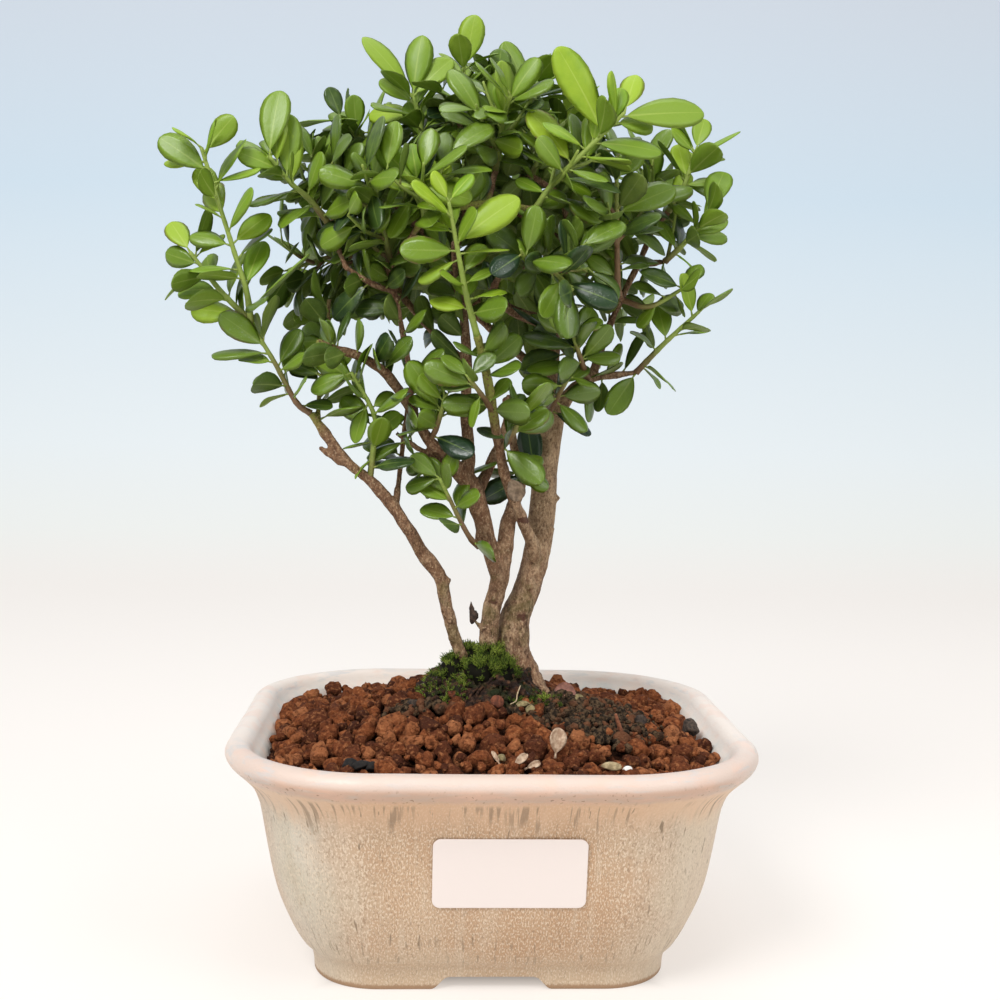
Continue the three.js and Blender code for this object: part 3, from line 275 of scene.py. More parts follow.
def seeded(seed):
    """Each call of the function that this returns gives the next number from 0 to 1, as in the CAD part."""
    state = seed & 0xFFFFFFFF

    def draw():
        nonlocal state
        state = (state + 0x6D2B79F5) & 0xFFFFFFFF
        mixed = ((state ^ (state >> 15)) * (state | 1)) & 0xFFFFFFFF
        mixed ^= (mixed + (((mixed ^ (mixed >> 7)) * (mixed | 61)) & 0xFFFFFFFF)) & 0xFFFFFFFF
        return ((mixed ^ (mixed >> 14)) & 0xFFFFFFFF) / 4294967296

    return draw


def unit(v):
    return np.asarray(v, float) / max(np.linalg.norm(v), 1e-9)


def upright(direction, wanted):
    wanted = np.asarray(wanted, float)
    return unit(wanted - direction * wanted.dot(direction))


def spun(v, axis, degrees):
    turn = math.radians(degrees)
    return v * math.cos(turn) + np.cross(axis, v) * math.sin(turn) + axis * axis.dot(v) * (1 - math.cos(turn))


def point_on(path, share):
    lengths = [np.linalg.norm(b - a) for a, b in zip(path, path[1:])]
    left = share * sum(lengths)
    i = 0
    while i < len(lengths) - 1 and left > lengths[i]:
        left -= lengths[i]
        i += 1
    along = unit(path[i + 1] - path[i])
    return path[i] + along * min(left, lengths[i]), along


def smooth_path(path, radii, step):
    """Points along a Catmull-Rom curve through the path, about step apart, with a radius at each."""
    pts = [2 * path[0] - path[1], *path, 2 * path[-1] - path[-2]]
    places, sizes = [], []
    for i in range(len(path) - 1):
        a, b, c, d = pts[i:i + 4]
        count = max(2, int(np.linalg.norm(c - b) / step))
        for k in range(count):
            t = k / count
            places.append(0.5 * (2 * b + (c - a) * t + (2 * a - 5 * b + 4 * c - d) * t**2
                                 + (3 * b - a - 3 * c + d) * t**3))
            sizes.append(radii[i] + (radii[i + 1] - radii[i]) * t)
    return np.array([*places, path[-1]]), np.array([*sizes, radii[-1]])


# Meshes


class Parts:
    """Gathers loose meshes in millimetres and turns them into one object."""

    def __init__(self):
        self.places, self.faces, self.slots, self.count = [], [], [], 0
        self.values = {}

    def add(self, places, faces, slot=0, **values):
        """Faces are arrays, one for each number of corners. The slot is one number or one for each face."""
        places = np.asarray(places, float)
        total = 0
        for block in faces:
            self.faces.append(np.asarray(block) + self.count)
            total += len(block)
        self.slots.append(np.broadcast_to(slot, total))
        self.places.append(places)
        for name in sorted(set(self.values) | set(values)):
            known = self.values.setdefault(name, [np.zeros(self.count)] if self.count else [])
            known.append(np.broadcast_to(values.get(name, 0.0), len(places)))
        self.count += len(places)

    def build(self, name, materials, smooth=True):
        places = (np.concatenate(self.places) + POT_MIDDLE) * MM
        corners = np.concatenate([f.ravel() for f in self.faces])
        sizes = np.concatenate([np.full(len(f), f.shape[1]) for f in self.faces])
        mesh = bpy.data.meshes.new(name)
        mesh.vertices.add(len(places))
        mesh.vertices.foreach_set("co", places.astype(np.float32).ravel())
        mesh.loops.add(len(corners))
        mesh.loops.foreach_set("vertex_index", corners.astype(np.int32))
        mesh.polygons.add(len(sizes))
        mesh.polygons.foreach_set("loop_start", np.concatenate([[0], np.cumsum(sizes)[:-1]]).astype(np.int32))
        mesh.polygons.foreach_set("material_index", np.concatenate(self.slots).astype(np.int32))
        mesh.polygons.foreach_set("use_smooth", np.full(len(sizes), smooth))
        for key, blocks in self.values.items():
            mesh.attributes.new(key, "FLOAT", "POINT").data.foreach_set(
                "value", np.concatenate(blocks).astype(np.float32))
        mesh.update(calc_edges=True)
        for material in materials:
            mesh.materials.append(material)
        made = bpy.data.objects.new(name, mesh)
        bpy.context.scene.collection.objects.link(made)
        return made


def grid_faces(rows, columns, closed=False):
    """Quads of a grid of points, row by row. Where it is closed, the last column joins the first."""
    i, j = np.meshgrid(np.arange(rows - 1), np.arange(columns if closed else columns - 1), indexing="ij")
    a, b = (i * columns + j).ravel(), (i * columns + (j + 1) % columns).ravel()
    return np.stack([a, b, b + columns, a + columns], 1)


def closed_rings(rings, low, high):
    """Rings of places joined into one skin, which runs to a point at each end."""
    count, n = len(rings), len(rings[0])
    ring = np.arange(n)
    after, last = (ring + 1) % n, count * n
    start = np.stack([np.full(n, last), after, ring], 1)
    end = np.stack([np.full(n, last + 1), last - n + ring, last - n + after], 1)
    return np.concatenate([*rings, [low, high]]), [grid_faces(count, n, closed=True), start, end]


def tube(path, radii, sides):
    """A round bar along the path, closed at both ends."""
    along = np.gradient(path, axis=0)
    along /= np.linalg.norm(along, axis=1)[:, None]
    side = np.array([0.31, 0.95, 0.05])
    angles = np.arange(sides) * 2 * math.pi / sides
    rings = []
    for p, a, r in zip(path, along, radii):
        side = upright(a, side)
        other = np.cross(side, a)
        rings.append(p + r * (np.outer(np.cos(angles), side) + np.outer(np.sin(angles), other)))
    return closed_rings(rings, path[0] - along[0] * radii[0] * 0.4, path[-1] + along[-1] * radii[-1] * 0.6)


def noise_at(places, size, octaves=3, seed=0.0):
    """Smooth noise from about -1 to 1 at each place."""
    offset = Vector((seed, seed * 1.7, seed * 0.6))
    return np.array([fractal(Vector(p) / size + offset, 1.0, 2.1, octaves) for p in places])


# Materials


class Field:
    """A number that varies over a surface. Each sign used on it adds a node to its shader."""

    def __init__(self, shader, socket):
        self.shader, self.socket = shader, socket

    def __add__(self, other):
        return self.shader.math("ADD", self, other)

    def __sub__(self, other):
        return self.shader.math("SUBTRACT", self, other)

    def __rsub__(self, other):
        return self.shader.math("SUBTRACT", other, self)

    def __mul__(self, other):
        return self.shader.math("MULTIPLY", self, other)

    def __truediv__(self, other):
        return self.shader.math("DIVIDE", self, other)

    def __abs__(self):
        return self.shader.math("ABSOLUTE", self)


class Shader:
    """Builds one material from nodes. Positions are in millimetres from the middle of the pot's foot."""

    def __init__(self, name):
        self.material = bpy.data.materials.new(name)
        self.material.use_nodes = True
        self.tree = self.material.node_tree
        self.tree.nodes.clear()
        self.surface = self.tree.nodes.new("ShaderNodeBsdfPrincipled")
        self.output = self.tree.nodes.new("ShaderNodeOutputMaterial")
        self.tree.links.new(self.surface.outputs[0], self.output.inputs["Surface"])
        place = self.node("ShaderNodeTexCoord").outputs["Object"]
        scaled = self.vector("MULTIPLY", place, (1 / MM,) * 3)
        self.place = self.vector("SUBTRACT", scaled, tuple(POT_MIDDLE))
        split = self.node("ShaderNodeSeparateXYZ", self.place)
        self.x, self.y, self.z = (Field(self, output) for output in split.outputs)

    def put(self, socket, value):
        value = value.socket if isinstance(value, Field) else value
        if isinstance(value, bpy.types.NodeSocket):
            self.tree.links.new(value, socket)
        elif socket.type == "RGBA" and len(value) == 3:
            socket.default_value = (*value, 1)
        else:
            socket.default_value = value

    def node(self, kind, *inputs, **settings):
        made = self.tree.nodes.new(kind)
        for key, value in settings.items():
            setattr(made, key, value)
        for i, value in enumerate(inputs):
            if value is not None:
                self.put(made.inputs[i], value)
        return made

    def vector(self, operation, a, b):
        return self.node("ShaderNodeVectorMath", a, b, operation=operation).outputs[0]

    def math(self, operation, a, b=None, clamp=False):
        return Field(self, self.node("ShaderNodeMath", a, b, operation=operation, use_clamp=clamp).outputs[0])

    def value(self, name):
        return Field(self, self.node("ShaderNodeAttribute", attribute_name=name).outputs["Fac"])

    def noise(self, size, detail=3.0, stretch=(1, 1, 1), place=None, rough=0.55):
        """Noise from 0 to 1 whose lumps are about size millimetres wide, longer by stretch."""
        place = self.place if place is None else place
        made = self.node("ShaderNodeTexNoise", self.vector("DIVIDE", place, tuple(size * s for s in stretch)))
        made.inputs["Scale"].default_value = 1.0
        made.inputs["Detail"].default_value = detail
        made.inputs["Roughness"].default_value = rough
        return Field(self, made.outputs[0])

    def cells(self, place, size, feature):
        """How far a place is from the middle or the edge of its cell, whose three sizes are given."""
        made = self.node("ShaderNodeTexVoronoi", self.vector("DIVIDE", place, size), feature=feature)
        made.inputs["Scale"].default_value = 1.0
        return made.outputs["Distance"]

    def step(self, value, low, high):
        """0 under low, 1 over high and smooth between them. It falls where high is under low."""
        made = self.node("ShaderNodeMapRange", value, interpolation_type="SMOOTHSTEP")
        a, b, out = (low, high, (0.0, 1.0)) if high > low else (high, low, (1.0, 0.0))
        made.inputs["From Min"].default_value = a
        made.inputs["From Max"].default_value = b
        made.inputs["To Min"].default_value, made.inputs["To Max"].default_value = out
        return Field(self, made.outputs[0])

    def mix(self, share, a, b):
        made = self.node("ShaderNodeMix", data_type="RGBA")
        self.put(made.inputs["Factor"], share)
        self.put(made.inputs[6], a)
        self.put(made.inputs[7], b)
        return made.outputs[2]

    def over(self, color, share, *numbers):
        """A share of one flat color, given as 0 to 255 on screen, laid over what is there."""
        return self.mix(share, color, srgb(*numbers))

    def ramp(self, value, *stops):
        made = self.node("ShaderNodeValToRGB", value)
        bar = made.color_ramp
        while len(bar.elements) < len(stops):
            bar.elements.new(0.5)
        for element, (at, color) in zip(bar.elements, stops):
            element.position = at
            element.color = (*color, 1)
        return made.outputs[0]

    def bump(self, height, depth, under=None):
        """Raises the surface by height times depth millimetres, over what an earlier bump raises."""
        made = self.node("ShaderNodeBump")
        made.inputs["Strength"].default_value = 1.0
        made.inputs["Distance"].default_value = depth * MM
        self.put(made.inputs["Height"], height)
        if under is not None:
            self.put(made.inputs["Normal"], under)
        return made.outputs[0]

    def finish(self, color, roughness, normal=None, **others):
        self.put(self.surface.inputs["Base Color"], color)
        self.put(self.surface.inputs["Roughness"], roughness)
        if normal is not None:
            self.put(self.surface.inputs["Normal"], normal)
        for key, value in others.items():
            self.put(self.surface.inputs[key.replace("_", " ")], value)
        return self.material


def srgb(*numbers):
    """A color given as 0 to 255 on screen, as the shader's linear values."""
    return tuple((n / 255 / 12.92) if n < 10.3 else ((n / 255 + 0.055) / 1.055) ** 2.4 for n in numbers)


def wall_places(s):
    """Places with the wall's lean taken out, so that runs follow it straight down."""
    middle = s.vector("MAXIMUM", s.vector("MINIMUM", s.place, (POT["flat"],) * 3), (-POT["flat"],) * 3)
    outward = s.vector("MULTIPLY", s.vector("SUBTRACT", s.place, middle), (1, 1, 0))
    outward = s.vector("MULTIPLY", s.vector("NORMALIZE", outward, (0, 0, 0)), (25, 25, 0))
    level = s.vector("ADD", s.vector("MULTIPLY", middle, (1, 1, 0)), outward)
    return s.vector("ADD", level, s.vector("MULTIPLY", s.place, (0, 0, 1)))


def lip_color(s, side):
    """Pinkish cream, whiter at the sides and back, with a warm band low on its front, thin blue-grey
    streaks along it and brown spots under it."""
    along_lip = s.noise(2.2, 4, (4, 4, 0.7))
    lip = s.mix(s.step(s.y, -56, -20), srgb(214, 192, 178), srgb(232, 218, 206))
    low_front = s.step(s.y, -50, -64) * s.step(s.z, 58.8, 57.2)
    lip = s.over(lip, low_front * 0.8, 198, 160, 136)
    blue = s.step(along_lip, 0.52, 0.64) * (s.step(side, 20, 40) * 0.3 + 0.12)
    lip = s.over(lip, blue, 190, 194, 196)
    lip = s.over(lip, s.step(s.noise(3, 3, (3, 3, 1)), 0.5, 0.66) * 0.25, 232, 186, 160)
    rim_line = s.step(s.z, 57.8, 56.4) * s.step(along_lip, 0.4, 0.56)
    lip = s.over(lip, rim_line * 0.4, 184, 164, 146)
    spots = s.step(s.noise(1.1, 1), 0.66, 0.71) * s.step(s.z, 59.0, 55.5)
    lip = s.over(lip, spots * 0.8, 138, 108, 82)
    return lip


def glaze_material():
    s = Shader("glaze")
    wall = wall_places(s)
    cloud = s.noise(22, 4)
    streak = s.noise(3.2, 4, (1, 1, 9), place=wall)
    # warm tan on the faces, grey-buff towards the corners and warmer towards the right
    side = s.math("MINIMUM", abs(s.x), abs(s.y)) + (cloud - 0.5) * 34.0
    face = s.step(side, 50, 24)
    body = s.mix(s.step(cloud, 0.35, 0.66), srgb(200, 192, 176), srgb(190, 178, 156))
    body = s.over(body, s.step(s.x, 20, 60) * 0.5, 214, 184, 150)
    warm = s.mix(s.step(s.noise(26, 3, (1, 1, 1.5)), 0.34, 0.6), srgb(194, 162, 130), srgb(182, 141, 103))
    body = s.mix(face * 0.9, body, warm)
    body = s.over(body, s.step(streak, 0.5, 0.72) * 0.3, 210, 196, 176)
    body = s.over(body, s.step(streak, 0.46, 0.3) * 0.2, 164, 136, 108)
    # the fine cream net over the tan ground, in short upright strokes
    net = face * 0.3 + 0.42
    fine = s.noise(0.5, 3, (1, 1, 1.8), place=wall)
    body = s.over(body, s.step(fine, 0.47, 0.36) * net, 152, 124, 96)
    threads = s.step(s.noise(0.36, 2, (1, 1, 2.2), place=wall), 0.5, 0.62) * net
    body = s.over(body, threads, 226, 208, 184)
    # pinkish tan under the lip, with brown runs of uneven length below it
    edge = s.z + (streak - 0.5) * 9.0
    body = s.over(body, s.step(edge, 43.0, 52.0) * 0.75, 218, 180, 146)
    column = s.noise(0.85, 1, (1, 1, 12), place=wall)
    cluster = s.noise(7, 1, (1, 1, 6), place=wall)
    low_end = s.z + s.noise(2.2, 1, (1, 1, 12), place=wall) * 16.0
    runs = s.step(column, 0.5, 0.62) * s.step(cluster, 0.38, 0.5)
    runs = runs * s.step(low_end, 53.5, 58.0) * s.step(s.z, 54.0, 52.4)
    body = s.over(body, runs * 0.62, 126, 104, 80)
    foot_runs = s.noise(1.0, 2, (1, 1, 6), place=wall)
    low_runs = s.step(foot_runs, 0.57, 0.68) * s.step(s.z, 19, 13)
    rare = s.step(s.noise(1.0, 2, (1, 1, 6), place=wall), 0.66, 0.74) * 0.8
    marks = s.math("MAXIMUM", low_runs * 0.6, rare)
    body = s.over(body, marks * s.step(s.z, 6, 9), 122, 100, 74)
    low_lip = s.z + (streak - 0.5) * 2.2
    body = s.mix(s.step(low_lip, 53.4, 55.6), body, lip_color(s, side))
    inner = s.step(s.value("inside"), 0.2, 0.8)
    inside = s.ramp(s.noise(7, 4, (1, 1, 3)), (0.3, srgb(216, 214, 206)), (0.5, srgb(232, 220, 208)),
                    (0.68, srgb(238, 214, 196)))
    body = s.mix(inner * s.step(s.z, 59.5, 57.0), body, inside)
    # the foot over an unglazed edge
    low = s.z + (cloud - 0.5) * 8.0
    body = s.over(body, s.step(low, 14, 6.5) * 0.35, 194, 176, 150)
    bare = s.step(s.z + (fine - 0.5) * 1.6, 1.7, 0.8)
    body = s.over(body, bare, 160, 128, 98)
    pits = s.bump(s.noise(0.55, 2), 0.08)
    waves = s.bump(s.noise(9, 2, (1, 1, 1.4)), 0.4, under=pits)
    rough = s.mix(bare, s.ramp(fine, (0.35, (0.42,) * 3), (0.65, (0.56,) * 3)), (0.8,) * 3)
    return s.finish(body, rough, waves, Coat_Weight=0.1, Coat_Roughness=0.3)


def paper_material():
    s = Shader("label_paper")
    grain = s.noise(0.4, 3)
    color = s.mix(grain * 0.25, srgb(234, 222, 216), srgb(226, 214, 207))
    return s.finish(color, 0.38, s.bump(grain, 0.01))


def soil_material():
    s = Shader("soil_grain")
    grain = s.noise(1.1, 5)
    crumb = abs(s.noise(1.3, 4) - 0.5) * 4.0
    base = s.ramp(s.value("tone"), (0.0, srgb(74, 42, 30)), (0.35, srgb(112, 62, 38)),
                  (0.7, srgb(144, 82, 48)), (1.0, srgb(170, 108, 70)))
    color = s.mix(s.step(grain, 0.5, 0.34) * 0.75, base, srgb(70, 35, 22))
    color = s.over(color, s.step(grain, 0.53, 0.66) * 0.45, 194, 130, 84)
    # painted shade in the grains' creases and along the noise's folds
    creases = s.math("MAXIMUM", s.step(crumb, 0.2, 0.0) * 0.3, s.value("dent"))
    color = s.over(color, creases * 0.5, 60, 32, 20)
    wet = s.math("SUBTRACT", 1.0, s.value("dry"), clamp=True)
    dark = s.mix(s.step(grain, 0.42, 0.6), srgb(42, 34, 27), srgb(98, 78, 58))
    dark = s.over(dark, s.step(s.value("tone"), 0.5, 0.7) * 0.75, 122, 78, 54)
    color = s.mix(wet, color, dark)
    # painted shade in the gaps between grains, darker the lower a place lies
    color = s.over(color, s.value("deep") * 0.9, 26, 14, 9)
    height = crumb * 0.4 + s.noise(0.5, 4) * 0.7
    return s.finish(color, 0.95, s.bump(height, 0.9), Specular_IOR_Level=0.1)


def old_soil_material():
    s = Shader("old_soil")
    lump = s.noise(1.8, 5)
    color = s.ramp(lump, (0.32, srgb(20, 13, 10)), (0.5, srgb(46, 30, 22)), (0.66, srgb(96, 64, 44)))
    red = s.step(s.noise(3.2, 2), 0.62, 0.7) * 0.8
    color = s.over(color, red, 118, 62, 38)
    green = s.step(s.noise(5, 3), 0.52, 0.64) * 0.5
    color = s.over(color, green, 40, 54, 22)
    wet = s.ramp(s.noise(1.2, 3), (0.36, (0.4,) * 3), (0.5, (0.95,) * 3))
    return s.finish(color, wet, s.bump(s.noise(0.7, 4), 0.9), Specular_IOR_Level=0.25)


def moss_material():
    s = Shader("moss")
    tone = s.noise(3.5, 3) + (s.value("tone") - 0.5) * 0.7
    tips = s.ramp(tone, (0.2, srgb(36, 48, 16)), (0.5, srgb(84, 110, 32)), (0.8, srgb(164, 184, 64)))
    # the foot of each strand and the bumps' cores are near black: painted shade down among the strands
    color = s.mix(s.step(s.value("tall"), 0.0, 1.0), srgb(18, 16, 8), tips)
    return s.finish(color, 0.8, Subsurface_Weight=0.05, Specular_IOR_Level=0.1)


SCARS = (  # red-brown scars on the stems: x, y, z and size
    (9.1, -4.4, 89.4, 1.9), (10.9, -4.0, 97.1, 1.2), (8.6, -8, 117.4, 1.8), (1.7, -17, 137.8, 1.3),
    (0.4, -6, 94.2, 1.2),
)


def bark_material():
    s = Shader("bark")
    long = s.noise(2.2, 5, (1, 1, 2.4))
    patch = s.noise(8, 4, (1, 1, 1.8))
    fine = s.noise(0.55, 4, (1, 1, 1.4))
    color = s.ramp(long, (0.3, srgb(118, 86, 64)), (0.5, srgb(152, 119, 90)), (0.7, srgb(186, 156, 124)))
    # red-brown on the stems left of the thick one and all through the crown
    left = s.step(s.x + patch * 8.0, 11, 6)
    red = s.math("MAXIMUM", left * s.step(s.z, 88, 104), s.step(s.z, 144, 160))
    color = s.over(color, red * 0.5, 118, 80, 52)
    foot = s.step(s.z, 86, 72) * s.step(patch, 0.35, 0.6)
    color = s.over(color, foot * 0.6, 150, 104, 76)
    # paler and greyer up the thick stem
    thick = s.step(s.x, 8, 13) * s.step(s.z, 98, 122) * s.step(s.z, 166, 150)
    color = s.over(color, thick * 0.4, 190, 164, 126)
    # scaly flecks and fine cracks
    color = s.over(color, s.step(fine, 0.5, 0.36) * 0.5, 82, 58, 42)
    color = s.over(color, s.step(fine, 0.54, 0.7) * 0.5, 216, 190, 154)
    flake = s.noise(1.2, 4, (1, 1, 1.9), rough=0.65)
    scaly = s.step(s.z, 104, 82) * 0.45 + 0.42
    color = s.over(color, s.step(flake, 0.56, 0.64) * scaly, 198, 164, 128)
    color = s.over(color, s.step(flake, 0.46, 0.38) * scaly, 80, 52, 36)
    for x, y, z, size in SCARS:
        away = s.vector("SUBTRACT", s.place, (x, y, z))
        away = s.vector("DIVIDE", away, (size * 1.25, 3 * size, size * 0.6))
        away = Field(s, s.node("ShaderNodeVectorMath", away, operation="LENGTH").outputs["Value"])
        away = away + (fine - 0.5) * 0.9
        color = s.over(color, s.step(away, 1.05, 0.7) * 0.85, 84, 48, 36)
    bent = s.vector("ADD", s.place, s.node("ShaderNodeCombineXYZ", patch, long, fine).outputs[0])
    scales = s.cells(bent, (0.38, 0.38, 0.84), "DISTANCE_TO_EDGE")
    crack = s.step(scales, 0.02, 0.004) * s.step(patch, 0.42, 0.6)
    color = s.over(color, crack * 0.5, 70, 52, 40)
    # small corky dots
    dots = s.cells(s.place, (2.3, 2.3, 1.38), "F1")
    dot = s.step(dots, 0.15, 0.09) * s.step(s.noise(4, 2), 0.46, 0.6)
    color = s.over(color, dot * 0.6, 72, 52, 38)
    # green algae low on the stems
    band = s.step(s.z, 118, 96) * s.step(s.z, 72, 88)
    algae = band * s.step(s.noise(5, 5), 0.5, 0.66)
    color = s.over(color, algae * 0.4, 100, 98, 48)
    # the upper ends of the front branch and of the left stem are still green
    front = s.step(s.z, 132, 150) * s.step(s.y, -19.5, -22.5)
    tip = s.step(s.x, -44, -49) * s.step(s.z, 138, 147)
    green = s.math("MAXIMUM", front, tip) * s.step(fine, 0.36, 0.46)
    color = s.over(color, green * 0.9, 138, 142, 62)
    ridges = long + fine * 0.5 - (crack + dot) * 0.25 + flake * 0.6
    return s.finish(color, 0.75, s.bump(ridges, 1.0), Specular_IOR_Level=0.3)


LEAF_COLORS = {
    "top": {
        "old": [(32, 56, 34), (104, 128, 50)], "middle": [(118, 148, 34)],
        "new": [(124, 162, 16), (160, 188, 38)], "pale": [(116, 140, 66), (186, 206, 84)],
    },
    "underside": {
        "old": [(78, 102, 40), (122, 142, 62)], "middle": [(118, 146, 42)],
        "new": [(134, 164, 40), (168, 190, 66)], "pale": [(150, 168, 92), (184, 202, 96)],
    },
}


def leaf_material(side):
    s = Shader(f"leaf_{side}")
    young, tone = s.value("young"), s.value("tone")
    u, v, length = s.value("u"), s.value("v"), s.value("long")
    far = abs(v)
    shade = s.step(s.noise(5, 3) + (tone - 0.5), 0.2, 0.8)
    colors = {name: [srgb(*number) for number in numbers] for name, numbers in LEAF_COLORS[side].items()}
    old, new, pale = s.mix(shade, *colors["old"]), s.mix(shade, *colors["new"]), s.mix(young, *colors["pale"])
    color = s.mix(s.step(young, 0.0, 0.5), old, *colors["middle"])
    color = s.mix(s.step(young, 0.45, 1.0), color, new)
    # the rib narrows towards the tip, and the side veins leave it at a slant
    width = (1.0 - u / length) * 0.3
    rib = s.step(far - width, 0.1, -0.02)
    color = s.mix(rib * 0.55, color, pale)
    slant = u - far * 1.1 + s.noise(2.5, 1) * 1.2
    vein = s.step(s.math("SINE", slant * 3.1), 0.8, 1.0)
    color = s.mix(vein * 0.05, color, pale)
    margin = s.step(s.value("edge"), 0.91, 1.0)
    color = s.mix(margin * 0.4, color, pale)
    # a few blades are browned at the rim, and the old ones are speckled and dusty, with a pale grey sheen
    # painted over them
    worn = s.step(tone, 0.9, 0.94) * s.step(s.value("edge"), 0.8, 1.0) * s.step(s.noise(2.2, 3), 0.46, 0.56)
    color = s.over(color, worn * 0.8, 150, 122, 84)
    speck = s.step(s.noise(0.9, 2), 0.7, 0.76) * s.step(young, 0.5, 0.2)
    color = s.over(color, speck * 0.4, 128, 132, 84)
    # pale grey dust specks on the old blades, which also stand for their sheen: painted highlight
    dust_and_sheen = s.step(s.noise(0.45, 2), 0.6, 0.7) * s.step(s.noise(4, 2), 0.5, 0.62) * s.step(young, 0.6, 0.3)
    color = s.over(color, dust_and_sheen * 0.3, 170, 178, 160)
    height = s.noise(1.7, 3) - vein * 0.1
    normal = s.bump(s.noise(0.35, 2), 0.02, under=s.bump(height, 0.13))
    rough, coat = 0.55, 0.0
    if side == "top":
        rough, coat = s.noise(2.5, 2) * 0.16 + 0.24 + s.step(young, 0.3, 0.7) * 0.24, 0.15
    s.finish(color, rough, normal, Specular_IOR_Level=0.5, Coat_Weight=coat, Coat_Roughness=0.25)
    # light that comes through the blade
    through = s.node("ShaderNodeBsdfTranslucent", s.mix(0.5, color, srgb(164, 196, 44)))
    both = s.node("ShaderNodeMixShader", 0.2, s.surface.outputs[0], through.outputs[0])
    s.put(s.output.inputs["Surface"], both.outputs[0])
    return s.material


def twig_material():
    s = Shader("young_twig")
    young = s.value("young") + (s.noise(6, 2) - 0.5) * 0.4
    brown = s.mix(s.noise(1.2, 3), srgb(92, 66, 44), srgb(132, 104, 70))
    green = s.mix(s.noise(1.6, 3), srgb(112, 136, 52), srgb(156, 170, 80))
    color = s.mix(s.step(young, 0.25, 0.6), brown, green)
    return s.finish(color, 0.55, s.bump(s.noise(0.5, 2), 0.15), Specular_IOR_Level=0.4)


def plain_material(name, dark, light, size, roughness, depth=0.1):
    s = Shader(name)
    grain = s.noise(size, 4)
    color = s.mix(s.step(grain, 0.3, 0.7), srgb(*dark), srgb(*light))
    return s.finish(color, roughness, s.bump(grain, depth))


# The pot


def square_ring(half):
    """One ring of the pot: a square with a straight run of twice POT["flat"], rounded at the corners."""
    corner = min(POT["flat"], half * 0.7)
    bend = half - corner
    turns = np.linspace(0, math.pi / 2, RING["bend"], endpoint=False)
    quarter = [(corner + bend * math.cos(t), corner + bend * math.sin(t)) for t in turns]
    # the steps stand closest where the foot's arch rises
    runs = 1 - 2 * np.arange(RING["straight"]) / RING["straight"]
    quarter += [(corner * (t + 0.1 * math.sin(2 * math.pi * t)), half) for t in runs]
    spins = [(math.cos(t), math.sin(t)) for t in np.arange(4) * math.pi / 2]
    return np.array([(x * cos - y * sin, x * sin + y * cos) for cos, sin in spins for x, y in quarter])


def refined(profile, step):
    places = [np.array(p, float) for p in profile]
    curve, _ = smooth_path(places, [0.0] * len(places), step)
    return curve


def arch_height(u):
    """How high the foot's arch stands over the floor, across its own opening."""
    half_top, half_bottom = FOOT["arch_top"] / 2, FOOT["arch_bottom"] / 2
    share = np.clip((half_bottom - np.abs(u)) / (half_bottom - half_top), 0, 1)
    return FOOT["height"] * (3 * share**2 - 2 * share**3)


def build_pot():
    outside = refined(POT["outside"], 1.1)
    inside = refined([POT["outside"][-1], *POT["inside"]], 1.6)[1:]
    foot_out = POT["outside"][0][0]
    foot_in = foot_out - FOOT["ring"]
    under = [(half, POT["under"]) for half in (2, 10, 20, 30, foot_in)]
    under += [(foot_in, 0.4), (foot_in + 0.4, 0), (foot_out - 0.4, 0)]
    inner_floor = [(half, POT["floor"]) for half in (30, 20, 10, 2)]
    rings = []
    for half, z in [*under, *outside, *inside, *inner_floor]:
        ring = square_ring(half)
        heights = np.full(len(ring), float(z))
        if half > foot_in - 1 and z < POT["floor"]:
            for axis in (0, 1):
                along_wall = np.abs(ring[:, 1 - axis]) > half - 3.0
                heights = np.where(along_wall, np.maximum(heights, arch_height(ring[:, axis])), heights)
        rings.append(np.column_stack([ring, heights]))
    places, faces = closed_rings(rings, (0, 0, POT["under"]), (0, 0, POT["floor"]))
    # the glaze pools and thins a little, so no two sides are quite alike
    wave = noise_at(places * (1, 1, 0.7), 26, 2, 3.1)
    out = places[:, :2] / np.maximum(np.linalg.norm(places[:, :2], axis=1), 1)[:, None]
    places[:, :2] += out * (0.35 * wave)[:, None] * (places[:, 2] > 4)[:, None]
    is_inside = np.ones(len(places))
    is_inside[:(len(under) + len(outside)) * len(rings[0])] = 0
    is_inside[-2] = 0
    parts = Parts()
    parts.add(places, faces, inside=is_inside)
    pot = parts.build("pot_glazed", [glaze_material()])
    for x in (-DRAIN["x"], DRAIN["x"]):
        bpy.ops.mesh.primitive_cylinder_add(vertices=48, radius=DRAIN["radius"] * MM, depth=20 * MM,
                                            location=((POT_MIDDLE + (x, 0, POT["floor"])) * MM))
        drill = bpy.context.object
        cut = pot.modifiers.new("drain", "BOOLEAN")
        cut.object, cut.operation, cut.solver = drill, "DIFFERENCE", "EXACT"
        bpy.context.view_layer.objects.active = pot
        bpy.ops.object.modifier_apply(modifier=cut.name)
        bpy.data.objects.remove(drill)
    ready(pot, "glaze", "pot")


def ready(piece, slot, *nodes):
    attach(piece, "root")
    if nodes:
        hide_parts(*nodes)


